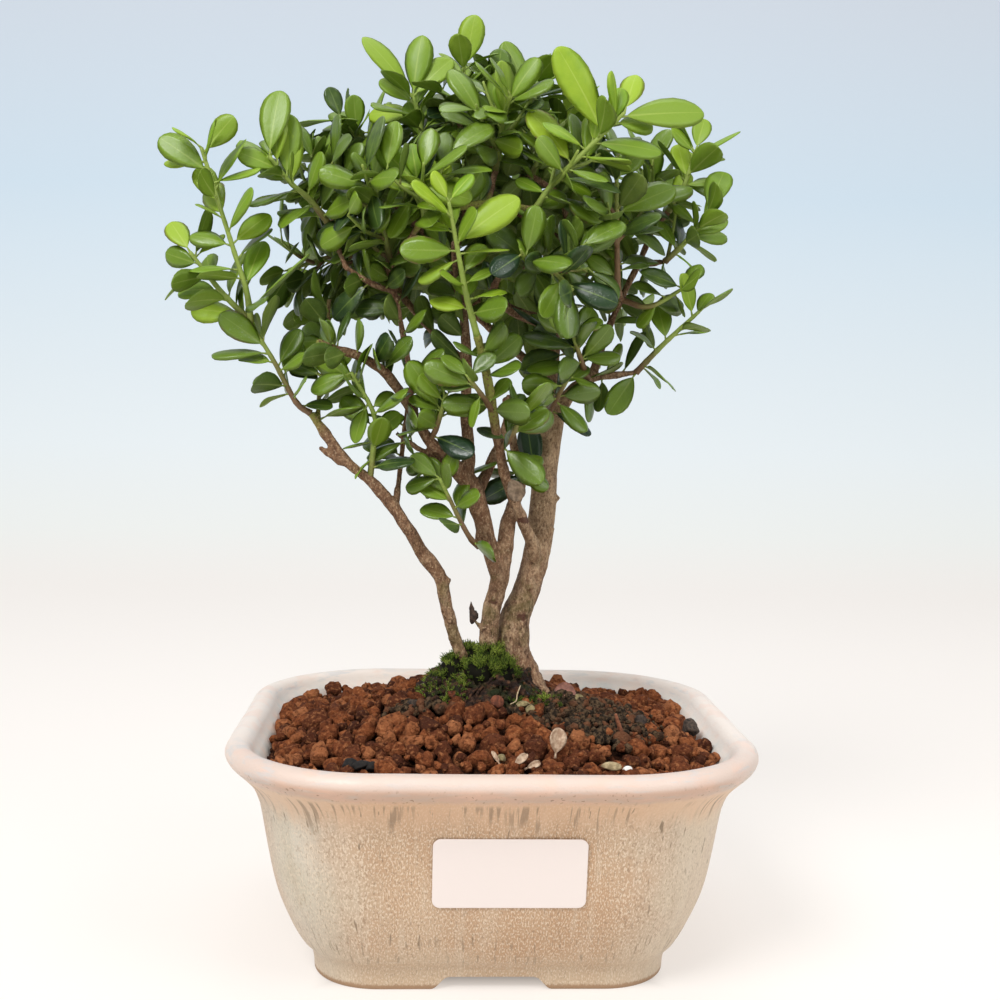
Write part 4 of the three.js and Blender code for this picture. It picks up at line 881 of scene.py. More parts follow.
def build_label():
    (low_half, low_z), (high_half, high_z) = POT["outside"][8:10]
    slope = math.atan2(high_half - low_half, high_z - low_z)
    wall = low_half + (LABEL["z"] - low_z) * (high_half - low_half) / (high_z - low_z)
    half = np.array([LABEL["width"] / 2, LABEL["height"] / 2])
    corner, steps = LABEL["corner"], 8
    outline = []
    for quarter, sign in enumerate(((1, 1), (-1, 1), (-1, -1), (1, -1))):
        for k in range(steps + 1):
            turn = math.pi / 2 * (quarter + k / steps)
            outline.append(sign * (half - corner) + corner * np.array([math.cos(turn), math.sin(turn)]))
    # each ring is set in from the edge and out from the wall
    rings = [np.column_stack([outline * (1 - inset / half), np.full(len(outline), out)])
             for inset, out in ((0.0, 0.32), (0.0, 0.5), (0.1, 0.58), (0.5, 0.6))]
    local, faces = closed_rings(rings, (0, 0, 0.32), (0, 0, 0.6))
    x = LABEL["x"] + local[:, 0]
    y = -wall - (local[:, 2] * math.cos(slope) + local[:, 1] * math.sin(slope))
    z = LABEL["z"] + local[:, 1] * math.cos(slope) - local[:, 2] * math.sin(slope)
    parts = Parts()
    parts.add(np.column_stack([x, y, z]), faces)
    label = parts.build("label_sheet", [paper_material()], smooth=False)
    ready(label, "label_paper", "label")


# Soil


def soil_height(x, y):
    out = np.minimum(1, np.hypot(x - ROOT_BALL["x"], y - ROOT_BALL["y"]) / 60)
    return SOIL["edge"] + SOIL["rise"] * (1 - out**1.5)


def wall_room(x, y):
    """How far a place on the soil is from the pot's wall."""
    inner = sorted((z, half) for half, z in POT["inside"])
    half = np.interp(SOIL["room_at"], [z for z, _ in inner], [half for _, half in inner])
    dx, dy = np.maximum(np.abs(x) - POT["flat"], 0), np.maximum(np.abs(y) - POT["flat"], 0)
    return half - POT["flat"] - np.hypot(dx, dy)


class Grains:
    """A few lumpy shapes of about 1 mm in radius, with creases and flat cuts, laid at random turns."""

    def __init__(self, levels, count, rough, seed):
        ball = bmesh.new()
        bmesh.ops.create_icosphere(ball, subdivisions=levels, radius=1.0)
        places = np.array([v.co for v in ball.verts])
        self.faces = np.array([[v.index for v in f.verts] for f in ball.faces])
        ball.free()
        draw = np.random.default_rng(int(seed))
        self.shapes = []
        for i in range(count):
            lumps = noise_at(places, 0.9, 2, seed + i * 7.3)
            creases = np.abs(noise_at(places, 0.6, 2, seed + 50 + i * 3.1))
            shape = places * (1 + rough * lumps + rough * 1.1 * (np.minimum(creases, 0.4) - 0.2))[:, None]
            for _ in range(6):
                way = unit(draw.normal(size=3))
                over = np.maximum(shape @ way - draw.uniform(0.55, 0.85), 0)
                shape -= np.outer(over * 0.85, way)
            # each shape keeps where its creases lie, for the soil's painted shade in them
            self.shapes.append((shape, np.clip(1 - creases / 0.1, 0, 1)))

    def lay(self, parts, place, size, random, flat=(1, 1, 1), turn=None, **values):
        """Adds one grain. It lies level where its turn is given in degrees."""
        shape, crease_shading = self.shapes[int(random() * len(self.shapes))]
        level = np.array(Matrix.Rotation(math.radians(turn or 0), 3, "Z"))
        turned = random_turn(random) if turn is None else level
        places = (shape * flat) @ turned.T * size + place
        # painted shade: the lower a place lies under the soil's top, the darker the soil colours it, as in
        # the gaps between grains
        deep = np.clip((soil_height(places[:, 0], places[:, 1]) + 0.6 - places[:, 2]) / 2.6, 0, 1)
        parts.add(places, [self.faces], dent=crease_shading, deep=deep, **values)


def random_turn(random):
    """A rotation matrix drawn evenly."""
    q = unit([random() - 0.5 for _ in range(4)])
    w, x, y, z = q
    return np.array([
        [1 - 2 * (y * y + z * z), 2 * (x * y - z * w), 2 * (x * z + y * w)],
        [2 * (x * y + z * w), 1 - 2 * (x * x + z * z), 2 * (y * z - x * w)],
        [2 * (x * z - y * w), 2 * (y * z + x * w), 1 - 2 * (x * x + y * y)]])


def packed(count, sizes, seed, rounds, spacing):
    """Places spread over the soil by pushing apart those that lie too near each other."""
    draw = np.random.default_rng(seed)
    spots = []
    while len(spots) < count:
        x, y = draw.uniform(-60, 60, 2)
        if wall_room(x, y) > 2:
            spots.append((x, y))
    spots = np.array(spots)
    for _ in range(rounds):
        gap = spots[:, None] - spots[None]
        far = np.linalg.norm(gap, axis=2) + np.eye(count) * 99
        short = np.maximum(spacing * (sizes[:, None] + sizes[None]) - far, 0)
        spots += (gap / far[..., None] * short[..., None] * 0.35).sum(1)
        for _ in range(2):
            outside = wall_room(spots[:, 0], spots[:, 1]) < sizes
            spots[outside] *= 0.985
    return spots


DAMP = ((26, -15, 19, 18), (-19, -18.5, 9, 5))  # middle and half sizes of the dark damp patches


def dampness(x, y):
    """How damp the soil is at a place, from 0 to 1."""
    away = [np.hypot((x - at_x) / half_x, (y - at_y) / half_y) for at_x, at_y, half_x, half_y in DAMP]
    return np.clip(1.6 - 1.2 * np.min(away, axis=0), 0, 1)


def on_ball(x, y, margin=0.0):
    return math.hypot(x - ROOT_BALL["x"], y - ROOT_BALL["y"]) < ROOT_BALL["radius"] - margin


def build_soil_bed(soil):
    """The filling of the pot under the grains, dark with painted shade where it shows between them."""
    bed = Parts()
    low, sunk = SOIL_BED["low"], SOIL_BED["sunk"]
    rings = []
    for half, z in SOIL_BED["wall"]:
        ring = square_ring(half)
        rings.append(np.column_stack([ring, np.full(len(ring), float(z))]))
    for half in SOIL_BED["top"]:
        ring = square_ring(half)
        rings.append(np.column_stack([ring, soil_height(*ring.T) - sunk]))
    places, faces = closed_rings(rings, (0, 0, low), (0, 0, SOIL["edge"] + SOIL["rise"] - sunk))
    # the bed takes the soil's darkest tone and most of its painted shade, for the gaps between grains
    bed.add(places, faces, tone=0.05, dry=1 - dampness(places[:, 0], places[:, 1]), deep=0.7)
    ready(bed.build("soil_bed", [soil]), "soil_grains", "soil")


def build_grains(name, soil, kinds, count, lift, seed):
    """One layer of grains over the soil, the large ones of the first kind, scarcer where it is damp."""
    draw = np.random.default_rng(seed)
    random = seeded(seed)
    sizes = GRAINS["least"] + GRAINS["more"] * draw.random(count) ** 1.5
    parts = Parts()
    for (x, y), size in zip(packed(count, sizes, seed, 90, 0.82), sizes):
        if on_ball(x, y, 1.5) or wall_room(x, y) < size * 0.6:
            continue
        damp = dampness(x, y)
        if random() < 0.45 * damp:
            continue
        flat = (1, 0.78 + 0.3 * random(), 0.7 + 0.3 * random())
        z = soil_height(x, y) + lift + 2.6 * (random() - 0.5)
        dry = 0.0 if random() < damp - 0.12 else 1.0
        kind = kinds[0 if size > 2.3 else -1]
        kind.lay(parts, (x, y, z), size * (1 - 0.25 * damp), random, flat, tone=random(), dry=dry)
    ready(parts.build(name, [soil]), "soil_grains")


def build_soil():
    soil = soil_material()
    build_soil_bed(soil)
    coarse = Grains(2, 12, 0.42, 9.0)
    build_grains("soil_grains_top", soil, (Grains(3, 18, 0.48, 3.0), coarse), GRAINS["top"], 0.0, 31)
    build_grains("soil_grains_low", soil, (coarse,), GRAINS["low"], -2.4, 57)
    random = seeded(77)
    crumbs = Parts()
    for _ in range(GRAINS["crumbs"]):
        x, y = 116 * (random() - 0.5), 116 * (random() - 0.5)
        if wall_room(x, y) < 2 or on_ball(x, y):
            continue
        place = (x, y, soil_height(x, y) + 0.4 + 1.8 * random())
        dry = float(random() > dampness(x, y))
        coarse.lay(crumbs, place, 0.5 + 0.9 * random(), random, tone=random(), dry=dry)
    # fine dark grit in the damp patches
    grit = Grains(1, 12, 0.4, 15.0)
    placed = 0
    while placed < GRAINS["grit"]:
        x, y = -32 + 84 * random(), -40 + 50 * random()
        damp = dampness(x, y)
        if random() > damp or on_ball(x, y):
            continue
        placed += 1
        place = (x, y, soil_height(x, y) + 0.2 + 2.0 * random())
        size = 0.4 + 1.2 * random() ** 2
        kind = coarse if size > 0.9 else grit
        kind.lay(crumbs, place, size, random, tone=random() * 0.75, dry=0.0)
    ready(crumbs.build("soil_crumbs", [soil]), "soil_grains")


# Small things on the soil: name, dark and light color, roughness of the shape and its flatness, then the
# x, y, z, size and turn of each piece

FINDS = (
    ("pebbles", (98, 84, 54), (158, 142, 100), 0.16, (1, 0.8, 0.66),
     [(8.5, -20.1, 68.0, 2.0, 20), (10.6, -23.0, 67.2, 2.2, 80), (25, -3.7, 66.6, 1.9, 10),
      (1.1, -50.3, 61.0, 1.7, 50), (-50.1, 57.9, 57.2, 3.0, 0)]),
    ("flat_pebble", (136, 118, 86), (186, 166, 128), 0.16, (1, 0.5, 0.42), [(29.0, -48.9, 58.8, 2.9, -14)]),
    ("red_crumb", (84, 44, 30), (134, 74, 48), 0.3, (1, 0.9, 0.9), [(1.2, -20.2, 68.8, 2.2, 0)]),
    ("white_bit", (226, 220, 210), (246, 243, 238), 0.16, (1, 0.8, 0.6), [(33.1, -49.1, 58.2, 1.4, 0)]),
    ("dark_chunk", (10, 8, 8), (34, 27, 22), 0.4, (1, 0.6, 0.5),
     [(-36.5, -48.6, 58.4, 3.0, -20), (-33.5, -49.4, 58.8, 2.8, 40), (-30.9, -50.2, 58.4, 2.4, 0)]),
    ("dead_bud", (38, 28, 23), (88, 66, 52), 0.5, (0.55, 0.5, 1.25),
     [(-4.9, -6.3, 90.0, 2.1, 30), (-5.5, -6.4, 91.7, 1.5, 100)]),
    ("dark_grains", (30, 25, 22), (84, 68, 56), 0.36, (1, 0.9, 0.85),
     [(57, -6.4, 58.6, 2.8, 0), (41.5, -13.9, 62.6, 2.0, 0), (-21.5, -17.5, 67.0, 2.2, 0)]),
)


# Dead leaves: name, slot, dark and light color, grain and gloss, then the root, direction, face, length and
# width of each leaf

DEAD_LEAVES = (
    ("dead_leaves", "soil_grains", (150, 118, 92), (206, 180, 152), 1.2, 0.7,
     [((15.0, -47.2, 60.6), (0.12, 0.1, 1.0), (0.15, -1, 0.2), 7.4, 4.6),
      ((4.2, -53.0, 59.6), (0.6, -0.1, 0.7), (-0.4, -1, 0.5), 4.6, 2.2),
      ((7.0, -53.4, 59.2), (0.8, 0.1, 0.35), (0, -1, 0.6), 4.2, 1.9),
      ((0.8, -53.0, 60.0), (-0.5, 0.1, 0.9), (0.3, -1, 0.2), 4.0, 1.2)]),
    ("caught_leaf", "leaves", (96, 78, 60), (146, 124, 100), 1.4, 0.7,
     [((3.6, -14.0, 130.0), (0.5, 0.0, -1.0), (0.15, -1, 0.1), 7.6, 5.2)]),
    ("fallen_leaf", "soil_grains", (106, 64, 50), (156, 104, 86), 1.6, 0.6,
     [((17.0, -4.6, 67.0), (0.95, 0.25, 0.28), (-0.2, -0.7, 0.9), 8.0, 5.8)]),
)
BITS = (  # name, dark and light color, then the bends of a thin stick: x, y, z and radius
    ("stick", (104, 58, 36), (150, 92, 62),
     [[35.0, -27.0, 61.4, 0.7], [33.8, -27.4, 64.4, 0.6], [32.8, -27.6, 67.4, 0.4]]),
    ("loose_root", (150, 122, 88), (208, 184, 148),
     [[8.0, -15.4, 72.4, 0.14], [7.0, -18.2, 70.6, 0.2], [6.6, -20.2, 69.2, 0.18], [4.9, -21.8, 68.6, 0.12]]),
)


def build_soil_finds():
    """What lies on the soil: pebbles, crumbs, a stick, a root end and dead leaves."""
    random = seeded(901)
    for name, dark, light, rough, flat, spots in FINDS:
        stones = Grains(3, 3, rough, 21.0)
        parts = Parts()
        for x, y, z, size, turn in spots:
            stones.lay(parts, (x, y, z), size, random, flat, turn)
        ready(parts.build(name, [plain_material(name, dark, light, 0.9, 0.9, 0.3)]), "soil_grains")
    for name, dark, light, bends in BITS:
        parts = Parts()
        bends = np.array(bends)
        parts.add(*tube(*smooth_path(bends[:, :3], bends[:, 3], 0.8), 7))
        ready(parts.build(name, [plain_material(name, dark, light, 0.8, 0.8)]), "soil_grains")
    for name, slot, dark, light, grain, gloss, leaves in DEAD_LEAVES:
        brown = plain_material(name, dark, light, grain, gloss)
        parts = Parts()
        for root, along, face, length, width in leaves:
            along = unit(along)
            leaf = dict(root=np.array(root), along=along, normal=upright(along, face))
            fine_leaf(parts, dict(leaf, length=length, width=width), random, curl=0.5)
        ready(parts.build(name, [brown] * 3), slot)


# The old root ball and its moss


def ball_surface(angle, rise):
    """A place on the root ball: rise is 0 at the soil and 1 at the top."""
    r, top, shoulder = ROOT_BALL["radius"], ROOT_BALL["top"], ROOT_BALL["shoulder"]
    low = shoulder - 10
    z = low + (top - low) * rise
    out = r * np.interp(z, [low, shoulder, shoulder + 6, shoulder + 11, top], [1, 0.97, 0.82, 0.55, 0])
    lumps = 0.9 * np.sin(5 * angle + z * 0.7) + 0.6 * np.sin(9 * angle - z * 0.5)
    out = np.maximum(out + lumps * np.minimum(1, out / 6), 0)
    return np.stack([ROOT_BALL["x"] + out * np.cos(angle), ROOT_BALL["y"] + out * np.sin(angle), z], -1)


def build_root_ball():
    random = seeded(404)
    x, y, low = ROOT_BALL["x"], ROOT_BALL["y"], ROOT_BALL["low"]
    around, up = ROOT_BALL["around"], ROOT_BALL["up"]
    angles = np.arange(around) * 2 * math.pi / around
    rings = [ball_surface(angles, np.full(around, rise)) for rise in np.linspace(0, 1, up)[:-1] ** 0.85]
    foot = rings[0].copy()
    foot[:, 2] = low
    places, faces = closed_rings([foot, *rings], (x, y, low), (x, y, ROOT_BALL["top"]))
    centre = np.array([x, y, 58])
    rough = noise_at(places, 4.2, 3, 5.0) * 0.9 + noise_at(places, 1.5, 2, 8.0) * 0.35
    away = places - centre
    away /= np.maximum(np.linalg.norm(away, axis=1), 1)[:, None]
    places += away * (rough * np.clip((places[:, 2] - 52) / 6, 0, 1))[:, None]
    parts = Parts()
    parts.add(places, faces)
    crumbs = Grains(2, 8, 0.36, 71.0)
    for _ in range(GRAINS["on_ball"]):
        spot = ball_surface(random() * 2 * math.pi, 0.25 + 0.72 * random())
        crumbs.lay(parts, spot, 0.45 + 1.3 * random() ** 2, random)
    # fine old roots that run over it
    for _ in range(OLD_ROOTS):
        angle, rise = random() * 2 * math.pi, 0.5 + 0.45 * random()
        path = []
        for k in range(7):
            path.append(ball_surface(angle, max(rise, 0.05)) + (0, 0, 0.5))
            angle += (random() - 0.5) * 0.35
            rise -= 0.05 + 0.06 * random()
        places, sizes = smooth_path(np.array(path), np.linspace(0.5, 0.22, 7), 1.2)
        parts.add(*tube(places, sizes, 5))
    ready(parts.build("root_ball_rough", [old_soil_material()]), "old_soil", "root_ball")


def add_moss_strand(parts, spot, out, height, tone, random):
    """One upright stem of moss with narrow leaves around it."""
    stem = unit(out + (0, 0, 0.5) + 1.3 * (np.array([random(), random(), random()]) - 0.5))
    base = upright(stem, (0.3, 0.9, 0.1))
    faces = [np.array([[0, 1, 3], [1, 2, 3], [2, 0, 3]])]
    for k in range(7):
        lean = unit(stem + spun(base, stem, k * 144 + 50 * random()) * (0.25 + 0.75 * (k / 6)))
        start = spot + stem * height * 0.12 * k
        side = upright(lean, (0.2, 0.3, 0.9))
        corners = [start + spun(side, lean, t) * (0.16 - 0.01 * k) for t in (0, 120, 240)]
        tip = start + lean * height * (0.6 - 0.05 * k)
        parts.add([*corners, tip], faces, tall=np.array([0.1, 0.1, 0.1, 1.0]), tone=tone)


def add_cushion(parts, random):
    """Rounded bumps on the left and top of the root ball, covered with strands."""
    bumps = []
    for i in range(MOSS["bumps"]):
        out = math.sqrt((i + 0.5) / MOSS["bumps"])
        turn = math.radians(i * GOLDEN_ANGLE)
        x = MOSS["x"] + MOSS["wide"] * out * math.cos(turn)
        y = MOSS["y"] + MOSS["deep"] * out * math.sin(turn)
        size = MOSS["bump"] * (1 - 0.3 * out + 0.2 * random())
        away = math.hypot(x - ROOT_BALL["x"], y - ROOT_BALL["y"]) / ROOT_BALL["radius"]
        z = ROOT_BALL["top"] - MOSS["sunk"] - MOSS["slope"] * away**2
        bumps.append((np.array([x, y, z]), size * 0.86))
    cores = Grains(3, 7, 0.28, 33.0)
    for middle, size in bumps:
        # the cores take the moss's near-black as painted shade under the strands
        cores.lay(parts, middle, size * 0.96, random, tall=0.0, tone=0.5)
    placed = 0
    while placed < MOSS_STRANDS["cushion"]:
        middle, size = bumps[int(random() * len(bumps))]
        out = unit([random() - 0.5, random() - 0.5, random() * 0.9 - 0.12])
        spot = middle + out * size * (0.84 + 0.12 * random())
        clump = noise_at([spot], 2.6, 2, 4.0)[0]
        if clump < -0.1 or any(np.linalg.norm(spot - m) < s * 0.8 for m, s in bumps):
            continue
        placed += 1
        height = 1.0 + (2.2 + 2.4 * clump) * random()
        # the tone follows the clumps and chance, and strands that point up get a little painted light from
        # above
        tone = 0.4 + 0.5 * clump + 0.5 * (random() - 0.5) + 0.12 * out[2]
        add_moss_strand(parts, spot, out, height, tone, random)


def add_fringe(parts, random):
    """A bright fringe down the left flank of the root ball."""
    for _ in range(MOSS_STRANDS["fringe"]):
        angle = math.radians(FRINGE["from"] + FRINGE["degrees"] * random())
        rise = FRINGE["low"] + FRINGE["spread"] * random() ** 0.8
        spot = ball_surface(angle, rise)
        out = np.array([math.cos(angle), math.sin(angle), 0.2])
        if noise_at([spot], 2.6, 2, 9.0)[0] > -0.12:
            add_moss_strand(parts, spot, out, 1.0 + 1.6 * random(), 0.45 + 0.5 * random(), random)


def build_tufts(random):
    """Small tufts in the dark soil right of the stems, and one bright star among them."""
    tufts = Parts()
    for _ in range(MOSS_STRANDS["tufts"]):
        x = TUFTS["x"] + TUFTS["wide"] * (random() - 0.5)
        y = TUFTS["y"] + TUFTS["deep"] * (random() - 0.5)
        tone = 0.1 + 0.5 * random()
        for _ in range(MOSS_STRANDS["in_tuft"]):
            spot = np.array([x + random() - 0.5, y + random() - 0.5, soil_height(x, y) + TUFTS["lift"]])
            add_moss_strand(tufts, spot, np.array([0, 0, 1.0]), 0.8 + 1.3 * random(), tone, random)
    for k in range(MOSS_STRANDS["star"]):
        out = unit([math.cos(k * 2.4), math.sin(k * 2.4), 0.2 + 0.06 * k])
        add_moss_strand(tufts, STAR + out * 0.5, out, 2.2, 1.0, random)
    ready(tufts.build("moss_tufts", [moss_material()]), "moss")


def build_moss():
    random = seeded(11)
    cushion = Parts()
    add_cushion(cushion, random)
    add_fringe(cushion, random)
    ready(cushion.build("moss_cushion", [moss_material()]), "moss", "moss")
    build_tufts(random)


# The shoots' paths and the wood's twigs to them, drawn as in the CAD part

wood_bars = [[list(map(float, b)) for b in bends] for bends in [*STEMS, *ROOTS]]
buds = [(np.array(b[:3], float), b[3]) for bends in STEMS for b in bends if b[2] > TWIG["from"]]


def grow_twig_to(place):
    def cost(bud):
        return np.linalg.norm(bud[0] - place) + 0.7 * max(0, bud[0][2] - place[2] + 3)

    spot, radius = min(buds, key=cost)
    length = np.linalg.norm(spot - place)
    if length < TWIG["nearest"]:
        return spot.copy()
    start, end = [*spot, min(radius, TWIG["start"])], [*place, TWIG["end"]]
    buds.append((place.copy(), TWIG["end"]))
    if length < TWIG["straight"]:
        wood_bars.append([start, end])
        return place.copy()
    x, y, z = place
    sway = np.array([0.06 * math.sin(x * 0.9 + z), 0.06 * math.cos(y * 0.8 + z), 0.08])
    middle = (spot + place) / 2 + sway * length
    wood_bars.append([start, [*middle, TWIG["middle"]], end])
    buds.append((middle, TWIG["middle"]))
    return place.copy()


def width_of(length):
    """A long leaf is narrower for its length than a short one."""
    return length * (LEAF["slender"] - LEAF["narrows"] * length)


def listed_leaf(path, listed, random):
    share, lean, face, length = listed
    depth = 0.9 * (random() - 0.5)
    along = unit([math.sin(math.radians(lean)), depth, math.cos(math.radians(lean))])
    normal = upright(along, (0, 0.35, 1)) * math.cos(math.radians(face))
    normal = normal + upright(along, (0, -1, 0)) * math.sin(math.radians(face))
    whole = length / math.sqrt(1 - depth * depth)
    return dict(root=point_on(path, share)[0], along=along, normal=upright(along, normal), length=whole,
                width=width_of(whole))


def ruled_leaf(path, share, order, random, least=10.5, spread=4.5, outward=0.5, lift=0.7, roll=0.0):
    point, twig = point_on(path, share)
    turn = math.radians(144 * order + 40 * (random() - 0.5))
    opened = math.radians(30 + 36 * (1 - share) + 10 * random())
    side = upright(twig, (0.9, 0.3, 0.1))
    out = side * math.cos(turn) + np.cross(twig, side) * math.sin(turn)
    along = unit(twig * math.cos(opened) + out * math.sin(opened))
    light = unit(point - CROWN["middle"]) * outward + (0, 0, lift)
    length = least + spread * random()
    normal = upright(along, light + twig)
    if roll:
        normal = spun(normal, along, roll * (random() - 0.5))
    return dict(root=point, along=along, normal=normal, length=length, width=width_of(length))


def new_shoot(name, joins, path, leaves, young):
    """A shoot whose twigs are paths with their radius at the start and at the end."""
    return dict(name=name, joins=joins, path=path, leaves=leaves, young=young, twigs=[(path, 0.95, 0.5)])


def grow_shoots():
    shoots = []
    for index, (name, young, bends, listed) in enumerate(SHOOTS):
        random = seeded(100 + index)
        path = [np.array(bend, float) for bend in bends]
        if name not in JOINS:
            path[0] = grow_twig_to(path[0])
        leaves = [listed_leaf(path, leaf, random) for leaf in listed]
        shoots.append(new_shoot(name, JOINS.get(name), path, leaves, young))
    middle, reach, filled = np.array(CROWN["middle"], float), np.array(CROWN["reach"], float), 0
    for i in range(FILL["tries"]):
        if filled >= FILL["most"]:
            break
        k = (i * FILL["step"]) % FILL["tries"]
        random = seeded(500 + k)
        rise = -0.42 + 1.36 * (k + 0.5) / FILL["tries"]
        level, turn = math.sqrt(1 - rise * rise), math.radians(k * GOLDEN_ANGLE + 20)
        out = np.array([level * math.cos(turn), level * math.sin(turn), rise]) * reach
        tip = middle + out
        if any(np.linalg.norm(p - tip) < FILL["spread"] for shoot in shoots for p in shoot["path"]):
            continue
        root = middle + out * FILL["root_at"]
        root[2] += 4 * (random() - 0.5)
        between = (root + tip) / 2 + (0, 0, 2.5)
        path = [grow_twig_to(root), between, tip]
        leaves = [ruled_leaf(path, 0.22 + 0.78 * order / (FILL["leaves"] - 1), order, random)
                  for order in range(FILL["leaves"])]
        filled += 1
        shoots.append(new_shoot(f"crown_{filled:02d}", None, path, leaves, 0.3 + 0.45 * max(rise, 0)))
    return shoots


# The wood

DETAILS = [  # stubs and nubs on the stems and root ends at their foot: x, y, z and radius of each bend
    [[-0.6, -4.6, 84.5, 1.1], [-2.6, -5.4, 86.4, 0.7], [-4.5, -6.1, 88.8, 0.6]],
    [[16.8, 4, 122.6, 2.0], [19.4, 3.4, 122.9, 0.8]],
    [[3.6, -5, 104.8, 1.3], [5.2, -6.8, 105.9, 0.8]],
    [[2.6, -5, 100.6, 1.3], [1.4, -6.8, 101.6, 0.8]],
    [[14.4, 2, 113.2, 2.8], [17.2, 1.6, 114.2, 1.7]],
    [[-16, -9, 104, 1.2], [-17.4, -10.2, 105.2, 0.7]],
    [[-14, -9, 100, 1.7], [-11.8, -9.3, 100.6, 0.8]],
    [[-40.6, -14, 133.4, 1.3], [-42.0, -14.6, 132.8, 1.1], [-44.8, -14.6, 134.8, 0.75],
     [-47.5, -14.6, 136.8, 0.6]],
    [[6, 0, 60, 4.4], [-2, 1, 57.5, 2.2], [-8, 3, 53, 1.2]],
    [[10, 0, 66, 4.2], [14, 5, 63, 2.6], [19, 9, 57, 1.4]],
]


def build_wood():
    bars = Parts()
    for bends in wood_bars + DETAILS:
        bends = np.array(bends, float)
        places, sizes = smooth_path(bends[:, :3], bends[:, 3], BARK["step"])
        knots = 1 + 0.10 * np.sin(np.arange(len(sizes)) * 0.9 + bends[0, 0])
        bars.add(*tube(places, sizes * np.where(sizes < 1.3, 1.06 * knots, 1.02), BARK["sides"]))
    wood = bars.build("wood_bark", [bark_material()])
    merge = wood.modifiers.new("merge", "REMESH")
    merge.mode, merge.voxel_size = "VOXEL", BARK["voxel"] * MM
    even = wood.modifiers.new("even", "SMOOTH")
    even.factor, even.iterations = BARK["smoothing"], BARK["rounds"]
    bpy.context.view_layer.objects.active = wood
    bpy.ops.object.modifier_apply(modifier=merge.name)
    bpy.ops.object.modifier_apply(modifier=even.name)
    mesh = wood.data
    count = len(mesh.vertices)
    places, normals = np.empty(count * 3, np.float32), np.empty(count * 3, np.float32)
    mesh.vertices.foreach_get("co", places)
    mesh.vertices.foreach_get("normal", normals)
    places, normals = places.reshape(-1, 3) / MM - POT_MIDDLE, normals.reshape(-1, 3)
    thick = np.clip(np.interp(places[:, 2], [60, 120, 175], [1.0, 0.75, 0.25]), 0, 1)
    scaly = np.interp(places[:, 2], [74, 100], [0.55, 0.2])
    lumps = noise_at(places * (1, 1, 0.5), 4.6, 2, 2.0) * 0.5
    lumps += noise_at(places * (1, 1, 0.45), 1.5, 2, 6.0) * scaly
    places += normals * (lumps * thick)[:, None]
    mesh.vertices.foreach_set("co", ((places + POT_MIDDLE) * MM).astype(np.float32).ravel())
    mesh.polygons.foreach_set("use_smooth", np.ones(len(mesh.polygons), bool))
    mesh.update()
    ready(wood, "bark", "wood")


# Leaves

BLADE_BASE, BLADE_TIP = 0.9, 0.55  # how slowly the outline widens from the stalk and closes at the tip


class BladeGrid:
    """The rings and columns that a blade is made of, finer for the leaves that show most."""

    def __init__(self, rings, across):
        self.rings, self.across = rings, np.array(across, float)
        self.along = (1 - np.cos(np.linspace(0.05, 0.98, rings) * math.pi)) / 2
        self.outline = blade_outline(self.along)
        self.notched = self.outline * (1 - 0.025 * (np.arange(rings) % 2) * (self.along > 0.45))
        self.faces = grid_faces(rings, len(across))


def blade_outline(along):
    """Half a blade's width along it, 1 at its widest: narrow at the stalk and round at the tip."""
    widest = BLADE_BASE / (BLADE_BASE + BLADE_TIP)
    return (along / widest) ** BLADE_BASE * ((1 - along) / (1 - widest)) ** BLADE_TIP


FINE = BladeGrid(18, (-1, -0.66, -0.28, 0, 0.28, 0.66, 1))
LIGHT = BladeGrid(11, (-1, -0.5, 0, 0.5, 1))


def blade_places(leaf, along, outline, twist=0.0):
    """Places of a blade's middle surface, rings by columns, and its normal at each ring."""
    stalk = min(1.7, 0.13 * leaf["length"])
    out = stalk + along * (leaf["length"] - stalk)
    half = outline * leaf["width"] / 2
    across = np.cross(leaf["along"], leaf["normal"])
    sag = -LEAF["droop"] * leaf["length"] * (out / leaf["length"]) ** 2
    turns = twist * along
    side = across[None] * np.cos(turns)[:, None] + leaf["normal"][None] * np.sin(turns)[:, None]
    up = leaf["normal"][None] * np.cos(turns)[:, None] - across[None] * np.sin(turns)[:, None]
    line = leaf["root"] + np.outer(out, leaf["along"]) + np.outer(sag, leaf["normal"])
    return out, half, line, side, up


